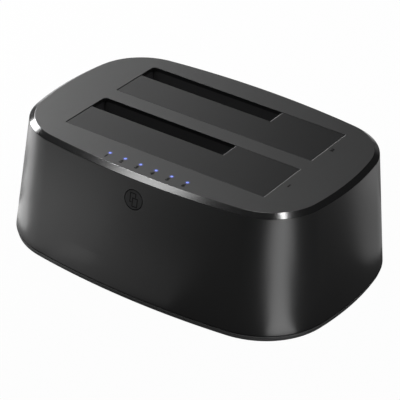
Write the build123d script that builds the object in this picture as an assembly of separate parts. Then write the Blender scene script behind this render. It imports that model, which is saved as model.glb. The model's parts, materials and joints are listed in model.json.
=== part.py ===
from build123d import *
import os
from math import atan2, copysign, cos, degrees, hypot, pi, radians, sin, sqrt, tan

# A two-bay hard drive docking station. Millimetres, +Z up, front towards -Y, right towards +X.
# The origin is the centre of the footprint, on the surface that the rubber feet stand on.

overrun = 1.0               # how far every cut runs past the face that it opens
touch_gap = 0.3             # air between pieces that move past each other
seat_gap = 0.1              # air round a piece that is dropped into its seat
running_gap = 0.05          # radial clearance of a shaft in its bore

# The drives that the bays take
large_drive_width = 101.6
large_drive_thickness = 26.1
small_drive_width = 69.85
small_drive_thickness = 9.5
drive_end_clearance = 1.7   # large drive to each end of its bay
drive_side_clearance = 1.55
slot_length_clearance = 2.05
slot_depth_clearance = 1.25

# The bays in the top
flap_thickness = 2.0
bay_length = large_drive_width + 2 * drive_end_clearance
bay_depth = large_drive_thickness + flap_thickness + drive_side_clearance
slot_length = small_drive_width + slot_length_clearance
slot_depth = small_drive_thickness + slot_depth_clearance
bay_rib = 8.8               # between the two bays
front_margin = 16.9         # top face in front of the bays, at the middle
rear_margin = 13.2
side_margin = 22.0
mouth_corner_radius = 2.0
mouth_edge_round = 0.35

# The outline of the top face: long sides, short sides and corners are tangent arcs
top_half_width = (2 * bay_depth + bay_rib + front_margin + rear_margin) / 2
top_half_length = bay_length / 2 + side_margin
long_side_radius = 362.0
short_side_radius = 146.0
corner_radius = 26.9

# The casing's heights and walls
foot_stand = 1.2            # rubber feet below the base
body_height = 60.0
band_height = 2.9           # visible band of the base below the seam
band_tuck = 0.6             # the band is drawn in by this at its foot
band_round = 0.8
wall_spread = 8.7           # the seam's outline outside the top face's outline
rim_chamfer_out = 2.5
rim_chamfer_drop = 1.7
rim_edge_round = 0.25
seam_gap = 0.35
seam_depth = 1.0
shell_wall = 2.4
cover_thickness = 2.0
lip_wall = 1.2
cover_lip_depth = 1.6
floor_thickness = 2.4
base_lip_height = 3.8

# Screws, all with a pan head and a cross recess
screw_radius = 1.1
screw_head_radius = 2.2
screw_head_height = 1.4
screw_slot_width = 0.6
screw_slot_depth = 0.8
screw_bite = 6.0            # thread held in a boss
boss_wall = 1.9
screw_slot_share = 0.75     # length of the cross in the head's diameter

# Feet
foot_radius = 6.0
foot_sink = 1.0
foot_inset_x = 38.0         # foot centre in from the widest point of the seam
foot_inset_y = 15.0
foot_edge_round = 0.5

# The bare recess in the underside
recess_half_length = 32.0
recess_half_width = 17.0
recess_depth = 0.3
recess_corner = 3.0

# Hinged flaps
flap_left_gap = 0.5
hinge_forward = 1.7         # hinge axis in front of the bay's front edge, under the top face
knuckle_radius = 1.7
knuckle_headroom = 0.5      # air between the knuckles and the top cover
hinge_drop = cover_thickness + knuckle_headroom + knuckle_radius
arm_reach = 1.9             # goose-neck behind the bay's front edge
knuckle_width = 6.0
hinge_rod_radius = 0.75
ear_width = 3.0
ear_radius = 2.1
ear_end_inset = 2.5         # outer ear in from the bay's end
spring_room = 6.2           # half of the free rod at the middle
flap_edge_round = 0.25

# Flap springs
spring_wire_radius = 0.25
spring_play = 0.2           # coil to rod
spring_pitch = 0.97
spring_turns = 7
spring_leg_share = 0.85     # leg's length in the room between the hinge and the next well
spring_leg_gap = 0.1
turns_per_biarc_share = 0.25

# Drive wells under the bays
well_wall = 1.6
well_floor = 1.6
window_play = 0.6
well_ear_length = 7.0
well_ear_width = 8.0
well_ear_thickness = 2.0
well_ear_drop = 4.0         # ear below the top cover's underside
well_ear_share = 0.25       # ears in from the well's front and back, as a share of its depth
spring_leg = (bay_rib - well_wall - hinge_forward) * spring_leg_share

# Boards
board_thickness = 1.6
board_stand = 5.4           # main board above the base's floor
board_end_margin = 9.9      # main board beyond the front row of parts
board_front_gap = 6.5       # board edge to the seam's outline, at the middle
board_corner_radius = 3.0
board_screw_inset = 5.0
well_air = 1.8              # main board to the drive wells

# Drive connectors, one in each well
connector_length = 42.0
connector_depth = 6.2
connector_height = 10.4
connector_edge = 30.1       # connector centre from a drive's left edge
connector_face = 3.5        # connector centre from a drive's back face
guide_width = 2.4
guide_height = 2.0
tongue_slot = 2.2
tongue_depth = 5.0
data_slot_length = 10.4
power_slot_length = 20.6
slot_key = 2.4
contact_width = 0.7
contact_thickness = 0.3
contact_length = 4.2
contact_pitch = 1.27
data_contact_count = 7
power_contact_count = 15

# The front button and the indicator board behind it
button_drop = 11.2          # button centre below the top face
button_radius = 4.5
button_flange = 1.3
button_plate = 1.4          # thickness of its flange at the axis
button_gap = 0.3
button_travel = 0.3
key_plunger_length = 1.2
key_plunger_radius = 1.75
key_plunger_sink = 1.2      # plunger inside the key switch at rest
key_size = 6.0
key_depth = 3.5
key_leg = 0.7
indicator_half_length = 28.0
indicator_above = 4.0       # board above the button's centre
indicator_below = 13.5
indicator_screw_inset = 4.0
lamp_pitch = 8.15
lamp_count = 6
lamp_width = 3.0
lamp_depth = 1.3
lamp_height = 1.4
lamp_window = 0.3
guide_rod_radius = 1.0
guide_tip_radius = 0.55
guide_bar_height = 1.2
guide_bar_margin = 0.4
lamp_front_inset = 7.0      # row of lamps behind the top face's front edge

# Flat cable between the boards, with its two sockets
cable_half_width = 5.0
cable_thickness = 0.3
cable_socket_margin = 1.5
cable_socket_depth = 2.0
cable_socket_height = 3.0

# Parts on the main board
component_row_inset = 8.0   # row of parts behind the main board's front edge
chip_size = 9.0
chip_height = 1.2
chip_lift = 0.15
chip_lead_width = 0.25
chip_lead_pitch = 0.5
chip_side_lead_count = 14
chip_lead_reach = 1.2
lead_thickness = 0.15
memory_length = 4.9
memory_depth = 3.9
memory_height = 1.5
memory_lead_width = 0.4
memory_lead_pitch = 1.27
memory_side_lead_count = 4
crystal_length = 10.6
crystal_depth = 4.4
crystal_height = 3.4
crystal_flange = 0.5
capacitor_radius = 3.15
capacitor_height = 6.2
capacitor_base = 6.8
capacitor_base_height = 0.9
capacitor_crimp = 0.3
capacitor_crimp_share = 0.2     # crimp above the can's foot, as a share of its height
capacitor_bevel = 0.4
inductor_size = 7.0
inductor_height = 4.0
inductor_chamfer = 0.8
part_spacing = 2.0          # between neighbours in the front row

# Rear ports, in a flat panel sunk into the back wall
panel_half_length = 41.0
panel_low = 5.7             # lower edge of the sunk panel above the seam
panel_high = 22.4
panel_least_depth = 0.8
panel_thickness = 1.8
port_set_back = 0.2         # port noses behind the panel's face
port_well_gap = 0.6
inlet_x = 32.0
inlet_width = 9.0
inlet_height = 11.0
inlet_nose_radius = 4.1
inlet_bore_radius = 3.15
inlet_bore_depth = 9.5
inlet_axis_height = 6.0
inlet_pin_radius = 1.05
inlet_pin_recess = 0.8
data_socket_x = 7.0
data_socket_half_width = 6.0
data_socket_waist = 6.4
data_socket_shoulder = 8.0
data_socket_neck = 4.4
data_socket_height = 12.0
data_socket_sheet = 0.4
data_tongue_half_width = 2.8
data_tongue_height = 3.2
data_tongue_low = 2.6
data_tongue_reach = 8.0
upper_tongue_half_width = 2.6
upper_tongue_height = 1.0
upper_tongue_low = 9.2

# Power switch
switch_x = -27.0
bezel_half_length = 10.5
bezel_half_height = 7.2
bezel_thickness = 1.2
switch_body_half_length = 9.4
switch_body_half_height = 6.4
switch_body_depth = 10.0
switch_above_board = 7.4    # rocker axis above the main board
rocker_half_length = 6.5
rocker_half_height = 5.0
rocker_dip = 2.0            # bottom of the rocker's trough above its axis
rocker_axis_sink = 1.6      # rocker axis behind the bezel's face
rocker_tilt = 11.0
rocker_foot_half = 4.2
rocker_root = 1.3
rocker_root_half = 2.2
rocker_pin_radius = 1.0
rocker_pin_length = 1.5
rocker_floor_play = 0.8
terminal_width = 3.0
terminal_thickness = 0.6
terminal_reach = 2.0
terminal_offset = 4.6

# Screw lugs inside the casing
corner_boss_inset = 2.8     # boss centre inside the wall's inner face
corner_boss_height = 14.0
corner_pad_height = 2.5
corner_pad_radius = 5.0
corner_rib = 2.0
lug_drop = 8.0              # lug below the top cover's underside
lug_thickness = 2.0
lug_radius = 4.5
lug_inset = 4.4

# Heights worked out from the values above
base_z = foot_stand
floor_top = base_z + floor_thickness
seam_z = base_z + band_height
casing_bottom = seam_z + seam_gap
top_z = base_z + body_height
wall_top_z = top_z - rim_chamfer_drop
cover_under = top_z - cover_thickness
base_lip_top = floor_top + base_lip_height
board_z = floor_top + board_stand
board_top = board_z + board_thickness
well_bottom = board_top + well_air
well_floor_top = well_bottom + well_floor
hinge_z = top_z - hinge_drop

# The front row on the main board, from the flat cable's socket outwards
row_start = cable_half_width + cable_socket_margin + part_spacing
crystal_x = row_start + crystal_length / 2
chip_x = crystal_x + crystal_length / 2 + part_spacing + chip_lead_reach + chip_size / 2
memory_x = chip_x + chip_size / 2 + chip_lead_reach + part_spacing + memory_length / 2
inductor_x = -row_start - inductor_size / 2
inductor_xs = [inductor_x, inductor_x - inductor_size - part_spacing / 2]
capacitor_x = inductor_xs[1] - inductor_size / 2 - part_spacing - capacitor_base / 2
capacitor_xs = [capacitor_x, capacitor_x - capacitor_base - part_spacing / 2]
row_reach = max(memory_x + memory_length / 2, capacitor_base / 2 - capacitor_xs[1])
board_half_length = row_reach + board_end_margin

# Places in plan worked out from the values above
bay_front_y = {
    "front": front_margin - top_half_width,
    "rear": front_margin + bay_depth + bay_rib - top_half_width,
}
bay_left_x = -bay_length / 2
bay_right_x = bay_length / 2
slot_right_x = bay_left_x + slot_length
screw_bore_radius = screw_radius + running_gap
screw_boss_radius = screw_bore_radius + boss_wall


def corner_centre():
    """Centre of the corner arc that is tangent to the long and the short side's arcs."""
    long_y = top_half_width - long_side_radius
    short_x = top_half_length - short_side_radius
    long_reach = long_side_radius - corner_radius
    short_reach = short_side_radius - corner_radius
    span = hypot(short_x, long_y)
    along = (span**2 + long_reach**2 - short_reach**2) / (2 * span)
    across = sqrt(long_reach**2 - along**2)
    ux = short_x / span
    uy = -long_y / span
    return along * ux + across * uy, long_y + along * uy - across * ux


corner_x, corner_y = corner_centre()


def arc_edge(cx, cy, radius, start, end, z):
    """Arc about (cx, cy) between two angles in radians, at height z."""
    points = []
    for angle in (start, (start + end) / 2, end):
        points.append(Vector(cx + radius * cos(angle), cy + radius * sin(angle), z))
    return Edge.make_three_point_arc(*points)


def outline(grow, z):
    """The eight-arc outline of the top face, grown outwards by grow, at height z."""
    long_y = top_half_width - long_side_radius
    short_x = top_half_length - short_side_radius
    steep = atan2(corner_y - long_y, corner_x)
    flat = atan2(corner_y, corner_x - short_x)
    long_r = long_side_radius + grow
    short_r = short_side_radius + grow
    corner_r = corner_radius + grow
    return Wire(
        [
            arc_edge(short_x, 0, short_r, -flat, flat, z),
            arc_edge(corner_x, corner_y, corner_r, flat, steep, z),
            arc_edge(0, long_y, long_r, steep, pi - steep, z),
            arc_edge(-corner_x, corner_y, corner_r, pi - steep, pi - flat, z),
            arc_edge(-short_x, 0, short_r, pi - flat, pi + flat, z),
            arc_edge(-corner_x, -corner_y, corner_r, pi + flat, pi + steep, z),
            arc_edge(0, -long_y, long_r, pi + steep, 2 * pi - steep, z),
            arc_edge(corner_x, -corner_y, corner_r, -steep, -flat, z),
        ]
    )


def tapered(low_grow, low_z, high_grow, high_z):
    """Solid between two grown outlines, with straight drafted sides."""
    return Solid.make_loft([outline(low_grow, low_z), outline(high_grow, high_z)], ruled=True)


def wall_grow(z):
    """How far the casing's outer face stands outside the top face's outline at height z."""
    draft = (wall_spread - rim_chamfer_out) / (wall_top_z - seam_z)
    return wall_spread - (z - seam_z) * draft


def wall_solid(inset, low_z, high_z):
    """Everything inside the casing's outer face, drawn in by inset, between two heights."""
    return tapered(wall_grow(low_z) - inset, low_z, wall_grow(high_z) - inset, high_z)


def wall_y(x, z):
    """Half width of the casing's outer face at a place on its long side."""
    reach = long_side_radius + wall_grow(z)
    return top_half_width - long_side_radius + sqrt(reach**2 - x**2)


def block(x0, x1, y0, y1, z0, z1):
    """Box between two corners."""
    return Pos((x0 + x1) / 2, (y0 + y1) / 2, (z0 + z1) / 2) * Box(x1 - x0, y1 - y0, z1 - z0)


def post(x, y, z0, z1, radius):
    """Upright cylinder."""
    return Pos(x, y, (z0 + z1) / 2) * Cylinder(radius, z1 - z0)


def pin_x(y, z, x0, x1, radius):
    """Cylinder along X."""
    return Pos((x0 + x1) / 2, y, z) * Rot(0, 90, 0) * Cylinder(radius, x1 - x0)


def pin_y(x, z, y0, y1, radius):
    """Cylinder along Y."""
    return Pos(x, (y0 + y1) / 2, z) * Rot(90, 0, 0) * Cylinder(radius, y1 - y0)


def corners(half_x, half_y):
    """The four places (x, y) of a centred rectangle, front left first."""
    return [(-half_x, -half_y), (half_x, -half_y), (-half_x, half_y), (half_x, half_y)]


def save(name, *solids):
    """Write one node; several solids stay separate in it."""
    shape = solids[0] if len(solids) == 1 else Compound(children=list(solids))
    export_step(shape, f"parts/{name}.step")


def screw(length):
    """Pan-head screw with its seat at the origin, tip towards +Z."""
    head = Pos(0, 0, -screw_head_height / 2) * Cylinder(screw_head_radius, screw_head_height)
    head = fillet(head.edges().sort_by(Axis.Z)[:1], screw_head_height / 2)
    shank = Pos(0, 0, length / 2) * Cylinder(screw_radius, length)
    slot_half = screw_head_radius * screw_slot_share
    cross = None
    for turn in (0, 90):
        bar = Rot(0, 0, turn) * block(
            -slot_half,
            slot_half,
            -screw_slot_width / 2,
            screw_slot_width / 2,
            -screw_head_height - overrun,
            screw_slot_depth - screw_head_height,
        )
        cross = bar if cross is None else cross + bar
    return head + shank - cross


# Corner bosses, lugs and feet

boss_wall_grow = wall_grow(floor_top + corner_boss_height)
boss_reach = (corner_radius + boss_wall_grow - shell_wall - corner_boss_inset) / sqrt(2)
boss_places = corners(corner_x + boss_reach, corner_y + boss_reach)
lug_top = cover_under - lug_drop
lug_reach = (corner_radius + wall_grow(lug_top) - shell_wall - lug_inset) / sqrt(2)
lug_places = corners(corner_x + lug_reach, corner_y + lug_reach)
foot_places = corners(
    top_half_length + wall_spread - foot_inset_x,
    top_half_width + wall_spread - foot_inset_y,
)
pad_top = floor_top + corner_pad_height
corner_seat_z = base_z + screw_head_height + recess_depth

# Rear panel, main board and indicator board, placed from the walls

panel_low_z = seam_z + panel_low
panel_high_z = seam_z + panel_high
panel_y = wall_y(panel_half_length, panel_high_z) - panel_least_depth
panel_inner_y = panel_y - panel_thickness
board_back_y = panel_inner_y - touch_gap
board_front_y = board_front_gap - top_half_width - wall_spread
board_screws = [
    (x, y)
    for y in (board_front_y + board_screw_inset + board_front_gap / 2, board_back_y - board_screw_inset)
    for x in (board_screw_inset - board_half_length, board_half_length - board_screw_inset)
]
button_z = top_z - button_drop
button_wall_y = -wall_y(0, button_z) + shell_wall
button_back_y = button_wall_y + touch_gap + button_plate
key_front_y = button_back_y + key_plunger_length
indicator_front_y = key_front_y + key_depth
indicator_back_y = indicator_front_y + board_thickness
indicator_top = button_z + indicator_above
indicator_bottom = button_z - indicator_below
indicator_screw_z = indicator_bottom + indicator_screw_inset
indicator_screw_xs = (
    indicator_screw_inset - indicator_half_length,
    indicator_half_length - indicator_screw_inset,
)
lamp_xs = [(i - (lamp_count - 1) / 2) * lamp_pitch for i in range(lamp_count)]
lamp_row_y = lamp_front_inset - top_half_width
well_ear_x = bay_right_x + well_wall + well_ear_length / 2
ear_top_z = cover_under - well_ear_drop
switch_z = board_top + switch_above_board
row_y = board_front_y + component_row_inset
port_back_y = bay_front_y["rear"] + bay_depth + well_wall + port_well_gap
port_nose_y = panel_y - port_set_back
cable_y = indicator_back_y + cable_socket_depth / 2


def well_ear_ys(bay):
    """Places along Y of a well's two screw ears, the same on both sides."""
    front = bay_front_y[bay]
    return front + bay_depth * well_ear_share, front + bay_depth * (1 - well_ear_share)


def well_ear_places(bay):
    return [(side * well_ear_x, y) for side in (-1, 1) for y in well_ear_ys(bay)]


def hinge_y(bay):
    return bay_front_y[bay] - hinge_forward


# Casing: one drafted ring of wall, with bosses for the base's screws, lugs for the top cover, two
# bosses for the indicator board, the button's hole and the sunk panel of the rear ports.


def data_socket_outline(grow):
    """Rear view of the data socket: a wide lower part, sloped shoulders and a narrow upper part."""
    side = data_socket_half_width + grow
    neck = data_socket_neck + grow
    points = [
        (-side, -grow),
        (side, -grow),
        (side, data_socket_waist + grow),
        (neck, data_socket_shoulder + grow),
        (neck, data_socket_height + grow),
        (-neck, data_socket_height + grow),
        (-neck, data_socket_shoulder + grow),
        (-side, data_socket_waist + grow),
    ]
    return [(data_socket_x + x, board_top + z) for x, z in points]


def prism_y(points, y0, y1):
    """Prism along Y over an outline of (x, z) points."""
    base = Wire.make_polygon([Vector(x, y0, z) for x, z in points], close=True)
    return Solid.extrude(Face(base), Vector(0, y1 - y0, 0))


def prism_x(points, x0, x1):
    """Prism along X over an outline of (y, z) points."""
    base = Wire.make_polygon([Vector(x0, y, z) for y, z in points], close=True)
    return Solid.extrude(Face(base), Vector(x1 - x0, 0, 0))


def make_casing():
    ring = wall_solid(0, casing_bottom, wall_top_z)
    ring -= wall_solid(shell_wall, casing_bottom - overrun, wall_top_z + overrun)
    inner_skin = wall_solid(shell_wall / 2, casing_bottom, wall_top_z)
    extras = None
    for x, y in boss_places:
        turn = degrees(atan2(copysign(1, y), copysign(1, x)))
        boss = post(x, y, pad_top, pad_top + corner_boss_height, screw_boss_radius)
        rib = Pos(x, y, 0) * Rot(0, 0, turn) * block(
            0, corner_pad_radius * 2, -corner_rib / 2, corner_rib / 2,
            base_lip_top + touch_gap, pad_top + corner_boss_height,
        )
        extras = boss + rib if extras is None else extras + boss + rib
    for x, y in lug_places:
        extras += post(x, y, lug_top - lug_thickness, lug_top, lug_radius)
    for x in indicator_screw_xs:
        wall = -wall_y(x, indicator_screw_z)
        extras += pin_y(x, indicator_screw_z, wall, indicator_front_y, screw_boss_radius)
    tray = block(
        -panel_half_length - panel_thickness, panel_half_length + panel_thickness,
        panel_inner_y, wall_y(0, casing_bottom),
        panel_low_z - panel_thickness, panel_high_z + panel_thickness,
    )
    casing = ring + (extras + tray & inner_skin)
    casing -= block(
        -panel_half_length, panel_half_length, panel_y, wall_y(0, casing_bottom) + overrun,
        panel_low_z, panel_high_z,
    )
    for x, y in boss_places:
        casing -= post(x, y, pad_top - overrun, pad_top + screw_bite + overrun, screw_bore_radius)
    for x, y in lug_places:
        casing -= post(x, y, lug_top - lug_thickness - overrun, lug_top + overrun, screw_radius + seat_gap)
    for x in indicator_screw_xs:
        casing -= pin_y(
            x, indicator_screw_z, indicator_front_y - screw_bite, indicator_front_y + overrun,
            screw_bore_radius,
        )
    casing -= pin_y(
        0, button_z, -wall_y(0, casing_bottom) - overrun, button_wall_y + shell_wall,
        button_radius + button_gap,
    )
    casing -= pin_y(
        inlet_x, board_top + inlet_axis_height, panel_inner_y - overrun, panel_y + overrun,
        inlet_nose_radius + seat_gap,
    )
    casing -= prism_y(data_socket_outline(seat_gap), panel_inner_y - overrun, panel_y + overrun)
    casing -= block(
        switch_x - switch_body_half_length - seat_gap, switch_x + switch_body_half_length + seat_gap,
        panel_inner_y - overrun, panel_y + overrun,
        switch_z - switch_body_half_height - seat_gap, switch_z + switch_body_half_height + seat_gap,
    )
    return casing


# Top cover: the flat top with its chamfered rim, the two bay mouths, ears for the hinge rods under
# the mouths' front edges, screw bosses and the holes for the light guides' tips.


def mouth(bay, z0, z1):
    """The opening of a bay, with its rounded corner at the back left."""
    front = bay_front_y[bay]
    opening = block(bay_left_x, bay_right_x, front, front + bay_depth, z0, z1)
    corner = opening.edges().filter_by(Axis.Z).group_by(Axis.X)[0].sort_by(Axis.Y)[-1:]
    return fillet(corner, mouth_corner_radius)


def ear_spans(side):
    """The two ears on one side of the middle, as (start, end) along X."""
    outer = bay_right_x - ear_end_inset
    spans = [(spring_room, spring_room + ear_width), (outer - ear_width, outer)]
    return spans if side > 0 else [(-b, -a) for a, b in spans]


def hinge_ear(bay, x0, x1):
    """Ear that hangs from the top and carries the hinge rod."""
    y = hinge_y(bay)
    plate = block(x0, x1, y - ear_radius, y + hinge_forward, hinge_z, cover_under)
    return plate + pin_x(y, hinge_z, x0, x1, ear_radius) & block(
        x0, x1, y - ear_radius, y + hinge_forward, hinge_z - ear_radius, cover_under
    )


def boss_with_bore(x, y, z0, z1):
    """Screw boss that hangs down to z0, open at its lower end."""
    bore = post(x, y, z0 - overrun, z0 + screw_bite, screw_bore_radius)
    return post(x, y, z0, z1, screw_boss_radius) - bore


def make_top_cover():
    rim = tapered(rim_chamfer_out, wall_top_z, 0, top_z)
    upper = rim.edges().group_by(Axis.Z)[-1]
    rim = fillet(upper, rim_edge_round)
    spigot_inset = shell_wall + seat_gap
    lip_bottom = cover_under - cover_lip_depth
    cover = rim + wall_solid(spigot_inset, lip_bottom, wall_top_z)
    cover -= wall_solid(spigot_inset + lip_wall, lip_bottom - overrun, cover_under)
    for bay in bay_front_y:
        cover -= mouth(bay, lip_bottom, top_z + overrun)
    first = bay_front_y["front"] - rim_edge_round
    last = bay_front_y["rear"] + bay_depth + rim_edge_round
    upper = []
    for edge in cover.edges().group_by(Axis.Z)[-1]:
        middle = edge.center()
        if abs(middle.X) <= bay_right_x + rim_edge_round and first < middle.Y < last:
            upper.append(edge)
    cover = fillet(upper, mouth_edge_round)
    for bay in bay_front_y:
        ears = None
        for side in (-1, 1):
            for x0, x1 in ear_spans(side):
                ear = hinge_ear(bay, x0, x1)
                ears = ear if ears is None else ears + ear
        cover += ears
        cover -= pin_x(
            hinge_y(bay), hinge_z, bay_left_x, bay_right_x, hinge_rod_radius + running_gap
        )
        for x, y in well_ear_places(bay):
            cover += boss_with_bore(x, y, ear_top_z, cover_under)
    for x, y in lug_places:
        cover += boss_with_bore(x, y, lug_top, cover_under)
    for x in lamp_xs:
        cover -= post(x, lamp_row_y, cover_under - overrun, top_z + overrun, guide_tip_radius + running_gap)
    return cover


# Base: a shallow tray with its visible band, a lip inside the casing, bosses for the main board,
# pads round the casing's screws, recesses for the feet and one bare shallow recess underneath.


def make_base_cover():
    band = tapered(wall_spread - band_tuck, base_z, wall_spread, seam_z)
    lower = band.edges().group_by(Axis.Z)[0]
    band = fillet(lower, band_round)
    step = wall_solid(seam_depth, seam_z, casing_bottom)
    lip_inset = shell_wall + seat_gap
    lip = wall_solid(lip_inset, seam_z, base_lip_top)
    hollow = wall_solid(lip_inset + lip_wall, floor_top, base_lip_top + overrun)
    base = band + step + lip - hollow
    for x, y in boss_places:
        base -= post(x, y, pad_top, base_lip_top + overrun, screw_boss_radius + touch_gap)
        base += post(x, y, floor_top, pad_top, corner_pad_radius) & wall_solid(lip_inset, floor_top, pad_top)
        base -= post(x, y, base_z - overrun, corner_seat_z, screw_head_radius + seat_gap)
        base -= post(x, y, base_z - overrun, pad_top + overrun, screw_radius + seat_gap)
    for x, y in board_screws:
        base += post(x, y, floor_top, board_z, screw_boss_radius)
        base -= post(x, y, board_z - screw_bite, board_z + overrun, screw_bore_radius)
    for x, y in foot_places:
        base -= post(x, y, base_z - overrun, base_z + foot_sink, foot_radius + seat_gap)
    recess = block(
        -recess_half_length, recess_half_length, -recess_half_width, recess_half_width,
        base_z - overrun, base_z + recess_depth,
    )
    base -= fillet(recess.edges().filter_by(Axis.Z), recess_corner)
    return base


def make_foot(x, y):
    foot = post(x, y, 0, base_z + foot_sink, foot_radius)
    return fillet(foot.edges().sort_by(Axis.Z)[:1], foot_edge_round)


# Drive wells: open tubs under the bays that guide a drive down to its connector. The upper part
# of the front wall is left out, where the hinge turns.


def connector_centre(bay):
    x = bay_left_x + drive_end_clearance + connector_edge
    return x, bay_front_y[bay] + bay_depth - connector_face - slot_depth_clearance / 2


def connector_footprint(bay, grow, z0, z1):
    x, y = connector_centre(bay)
    return block(
        x - connector_length / 2 - grow, x + connector_length / 2 + grow,
        y - connector_depth / 2 - grow, y + connector_depth / 2 + grow, z0, z1,
    )


def make_drive_well(bay):
    front = bay_front_y[bay]
    back = front + bay_depth
    window_low = hinge_z - hypot(hinge_forward + arm_reach, knuckle_radius) - window_play
    well = block(
        bay_left_x - well_wall, bay_right_x + well_wall, front - well_wall, back + well_wall,
        well_bottom, cover_under,
    )
    well -= block(bay_left_x, bay_right_x, front, back, well_floor_top, cover_under + overrun)
    well -= block(
        bay_left_x, bay_right_x, front - well_wall - overrun, front + overrun,
        window_low, cover_under + overrun,
    )
    for side in (-1, 1):
        inner = side * (bay_right_x + well_wall / 2)
        outer = side * (bay_right_x + well_wall + well_ear_length)
        for y in well_ear_ys(bay):
            well += block(
                min(inner, outer), max(inner, outer), y - well_ear_width / 2, y + well_ear_width / 2,
                ear_top_z - well_ear_thickness, ear_top_z,
            )
    ear_bottom_z = ear_top_z - well_ear_thickness
    for x, y in well_ear_places(bay):
        well -= post(x, y, ear_bottom_z - overrun, ear_top_z + overrun, screw_radius + seat_gap)
    return well - connector_footprint(bay, seat_gap, well_bottom - overrun, well_floor_top + overrun)


# Flaps: L-shaped lids, level with the top face, whose goose-neck arms turn on a rod under the
# bay's front edge. The missing corner at the back left is the slot for a small drive.


def knuckle_spans():
    """The goose-neck arms, one outside each inner ear and one inside each outer ear."""
    spans = []
    for inner, outer in (ear_spans(-1), ear_spans(1)):
        low, high = sorted([inner, outer])
        gap = touch_gap
        spans.append((low[1] + gap, low[1] + gap + knuckle_width))
        spans.append((high[0] - gap - knuckle_width, high[0] - gap))
    return spans


def make_flap(bay):
    front = bay_front_y[bay] + touch_gap
    back = bay_front_y[bay] + bay_depth
    left = bay_left_x + flap_left_gap
    plate_under = top_z - flap_thickness
    plate = block(left, bay_right_x - touch_gap, front, back - touch_gap, plate_under, top_z)
    plate -= block(
        left - overrun, slot_right_x, back - slot_depth, back + overrun,
        plate_under - overrun, top_z + overrun,
    )
    plate = fillet(plate.edges().group_by(Axis.Z)[-1], flap_edge_round)
    axis_y = hinge_y(bay)
    arm_back = bay_front_y[bay] + arm_reach
    arm_top = cover_under - touch_gap
    arms = None
    for x0, x1 in knuckle_spans():
        arm = pin_x(axis_y, hinge_z, x0, x1, knuckle_radius)
        arm += block(x0, x1, axis_y, arm_back, hinge_z - knuckle_radius, arm_top)
        arm += block(x0, x1, front, arm_back, arm_top, plate_under)
        arms = arm if arms is None else arms + arm
    bore = pin_x(axis_y, hinge_z, bay_left_x, bay_right_x, hinge_rod_radius + running_gap)
    return plate + (arms - bore)


def make_hinge_rod(bay):
    half = bay_right_x - ear_end_inset
    return pin_x(hinge_y(bay), hinge_z, -half, half, hinge_rod_radius)


# Flap springs: wire wound round the hinge rod between the middle ears, one leg under the top
# cover and the other under the flap.


def biarc(p0, t0, p1, t1):
    """Two tangent arcs from p0 along t0 to p1 along t1."""
    chord = p1 - p0
    both = t0 + t1
    square = both.dot(both) - 4
    lean = chord.dot(both)
    reach = (lean - sqrt(lean**2 - square * chord.dot(chord))) / square
    k0 = p0 + t0 * reach
    k1 = p1 - t1 * reach
    joint = (k0 + k1) * 0.5
    return [
        Edge.make_tangent_arc(p0, t0, joint),
        Edge.make_tangent_arc(joint, (k1 - k0).normalized(), p1),
    ]


def least_gap(path, wire_radius, apart):
    """Least air between stretches of the wire that lie further apart than a length along it."""
    count = int(path.length / wire_radius)
    points = [path.position_at(i / count) for i in range(count + 1)]
    skip = int(apart / wire_radius)
    gaps = [(points[i] - points[j]).length for i in range(len(points)) for j in range(i + skip, len(points))]
    return min(gaps) - 2 * wire_radius


def make_flap_spring(bay):
    mean = hinge_rod_radius + spring_play + spring_wire_radius
    seat = hinge_drop - cover_thickness - spring_leg_gap - spring_wire_radius
    lift = atan2(seat - mean, spring_leg)
    start = pi / 2 - lift
    sweep_angle = 2 * pi * spring_turns - 2 * lift
    rise = spring_pitch / (2 * pi)
    centre = Vector(-spring_pitch * spring_turns / 2, hinge_y(bay), hinge_z)
    steps = round(spring_turns / turns_per_biarc_share)

    def place(turned):
        angle = start - turned
        return centre + Vector(rise * turned, mean * cos(angle), mean * sin(angle))

    def heading(turned):
        angle = start - turned
        return Vector(rise, mean * sin(angle), -mean * cos(angle)).normalized()

    first = place(0) - heading(0) * spring_leg
    last = place(sweep_angle) + heading(sweep_angle) * spring_leg
    edges = [Edge.make_line(first, place(0))]
    for i in range(steps):
        a = sweep_angle * i / steps
        b = sweep_angle * (i + 1) / steps
        edges += biarc(place(a), heading(a), place(b), heading(b))
    edges.append(Edge.make_line(place(sweep_angle), last))
    path = Wire(edges)
    gap = least_gap(path, spring_wire_radius, pi * mean)
    print(f"{bay} flap spring: least gap to itself {gap:.2f}")
    section = Plane(origin=first, z_dir=heading(0)) * Circle(spring_wire_radius)
    return sweep(section, path=path)


# Main board and what is soldered to it


def make_main_board():
    board = block(-board_half_length, board_half_length, board_front_y, board_back_y, board_z, board_top)
    board = fillet(board.edges().filter_by(Axis.Z), board_corner_radius)
    for x, y in board_screws:
        board -= post(x, y, board_z - overrun, board_top + overrun, screw_radius + seat_gap)
    return board


def slot_starts(bay):
    """Left ends of the connector's data slot and power slot."""
    x, _ = connector_centre(bay)
    both = data_slot_length + slot_key + power_slot_length
    return x - both / 2, x - both / 2 + data_slot_length + slot_key


def make_drive_connector(bay):
    x, y = connector_centre(bay)
    top = board_top + connector_height
    body = connector_footprint(bay, 0, board_top, top)
    for side in (-1, 1):
        end = x + side * connector_length / 2
        inner = end - side * guide_width
        body += block(
            min(inner, end), max(inner, end), y - connector_depth / 2, y + connector_depth / 2,
            top, top + guide_height,
        )
    for start, length in zip(slot_starts(bay), (data_slot_length, power_slot_length)):
        body -= block(
            start, start + length, y - tongue_slot / 2, y + tongue_slot / 2,
            top - tongue_depth, top + overrun,
        )
        body -= block(
            start + length - tongue_slot / 2, start + length, y - tongue_slot, y + tongue_slot / 2,
            top - tongue_depth, top + overrun,
        )
    return body


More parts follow.
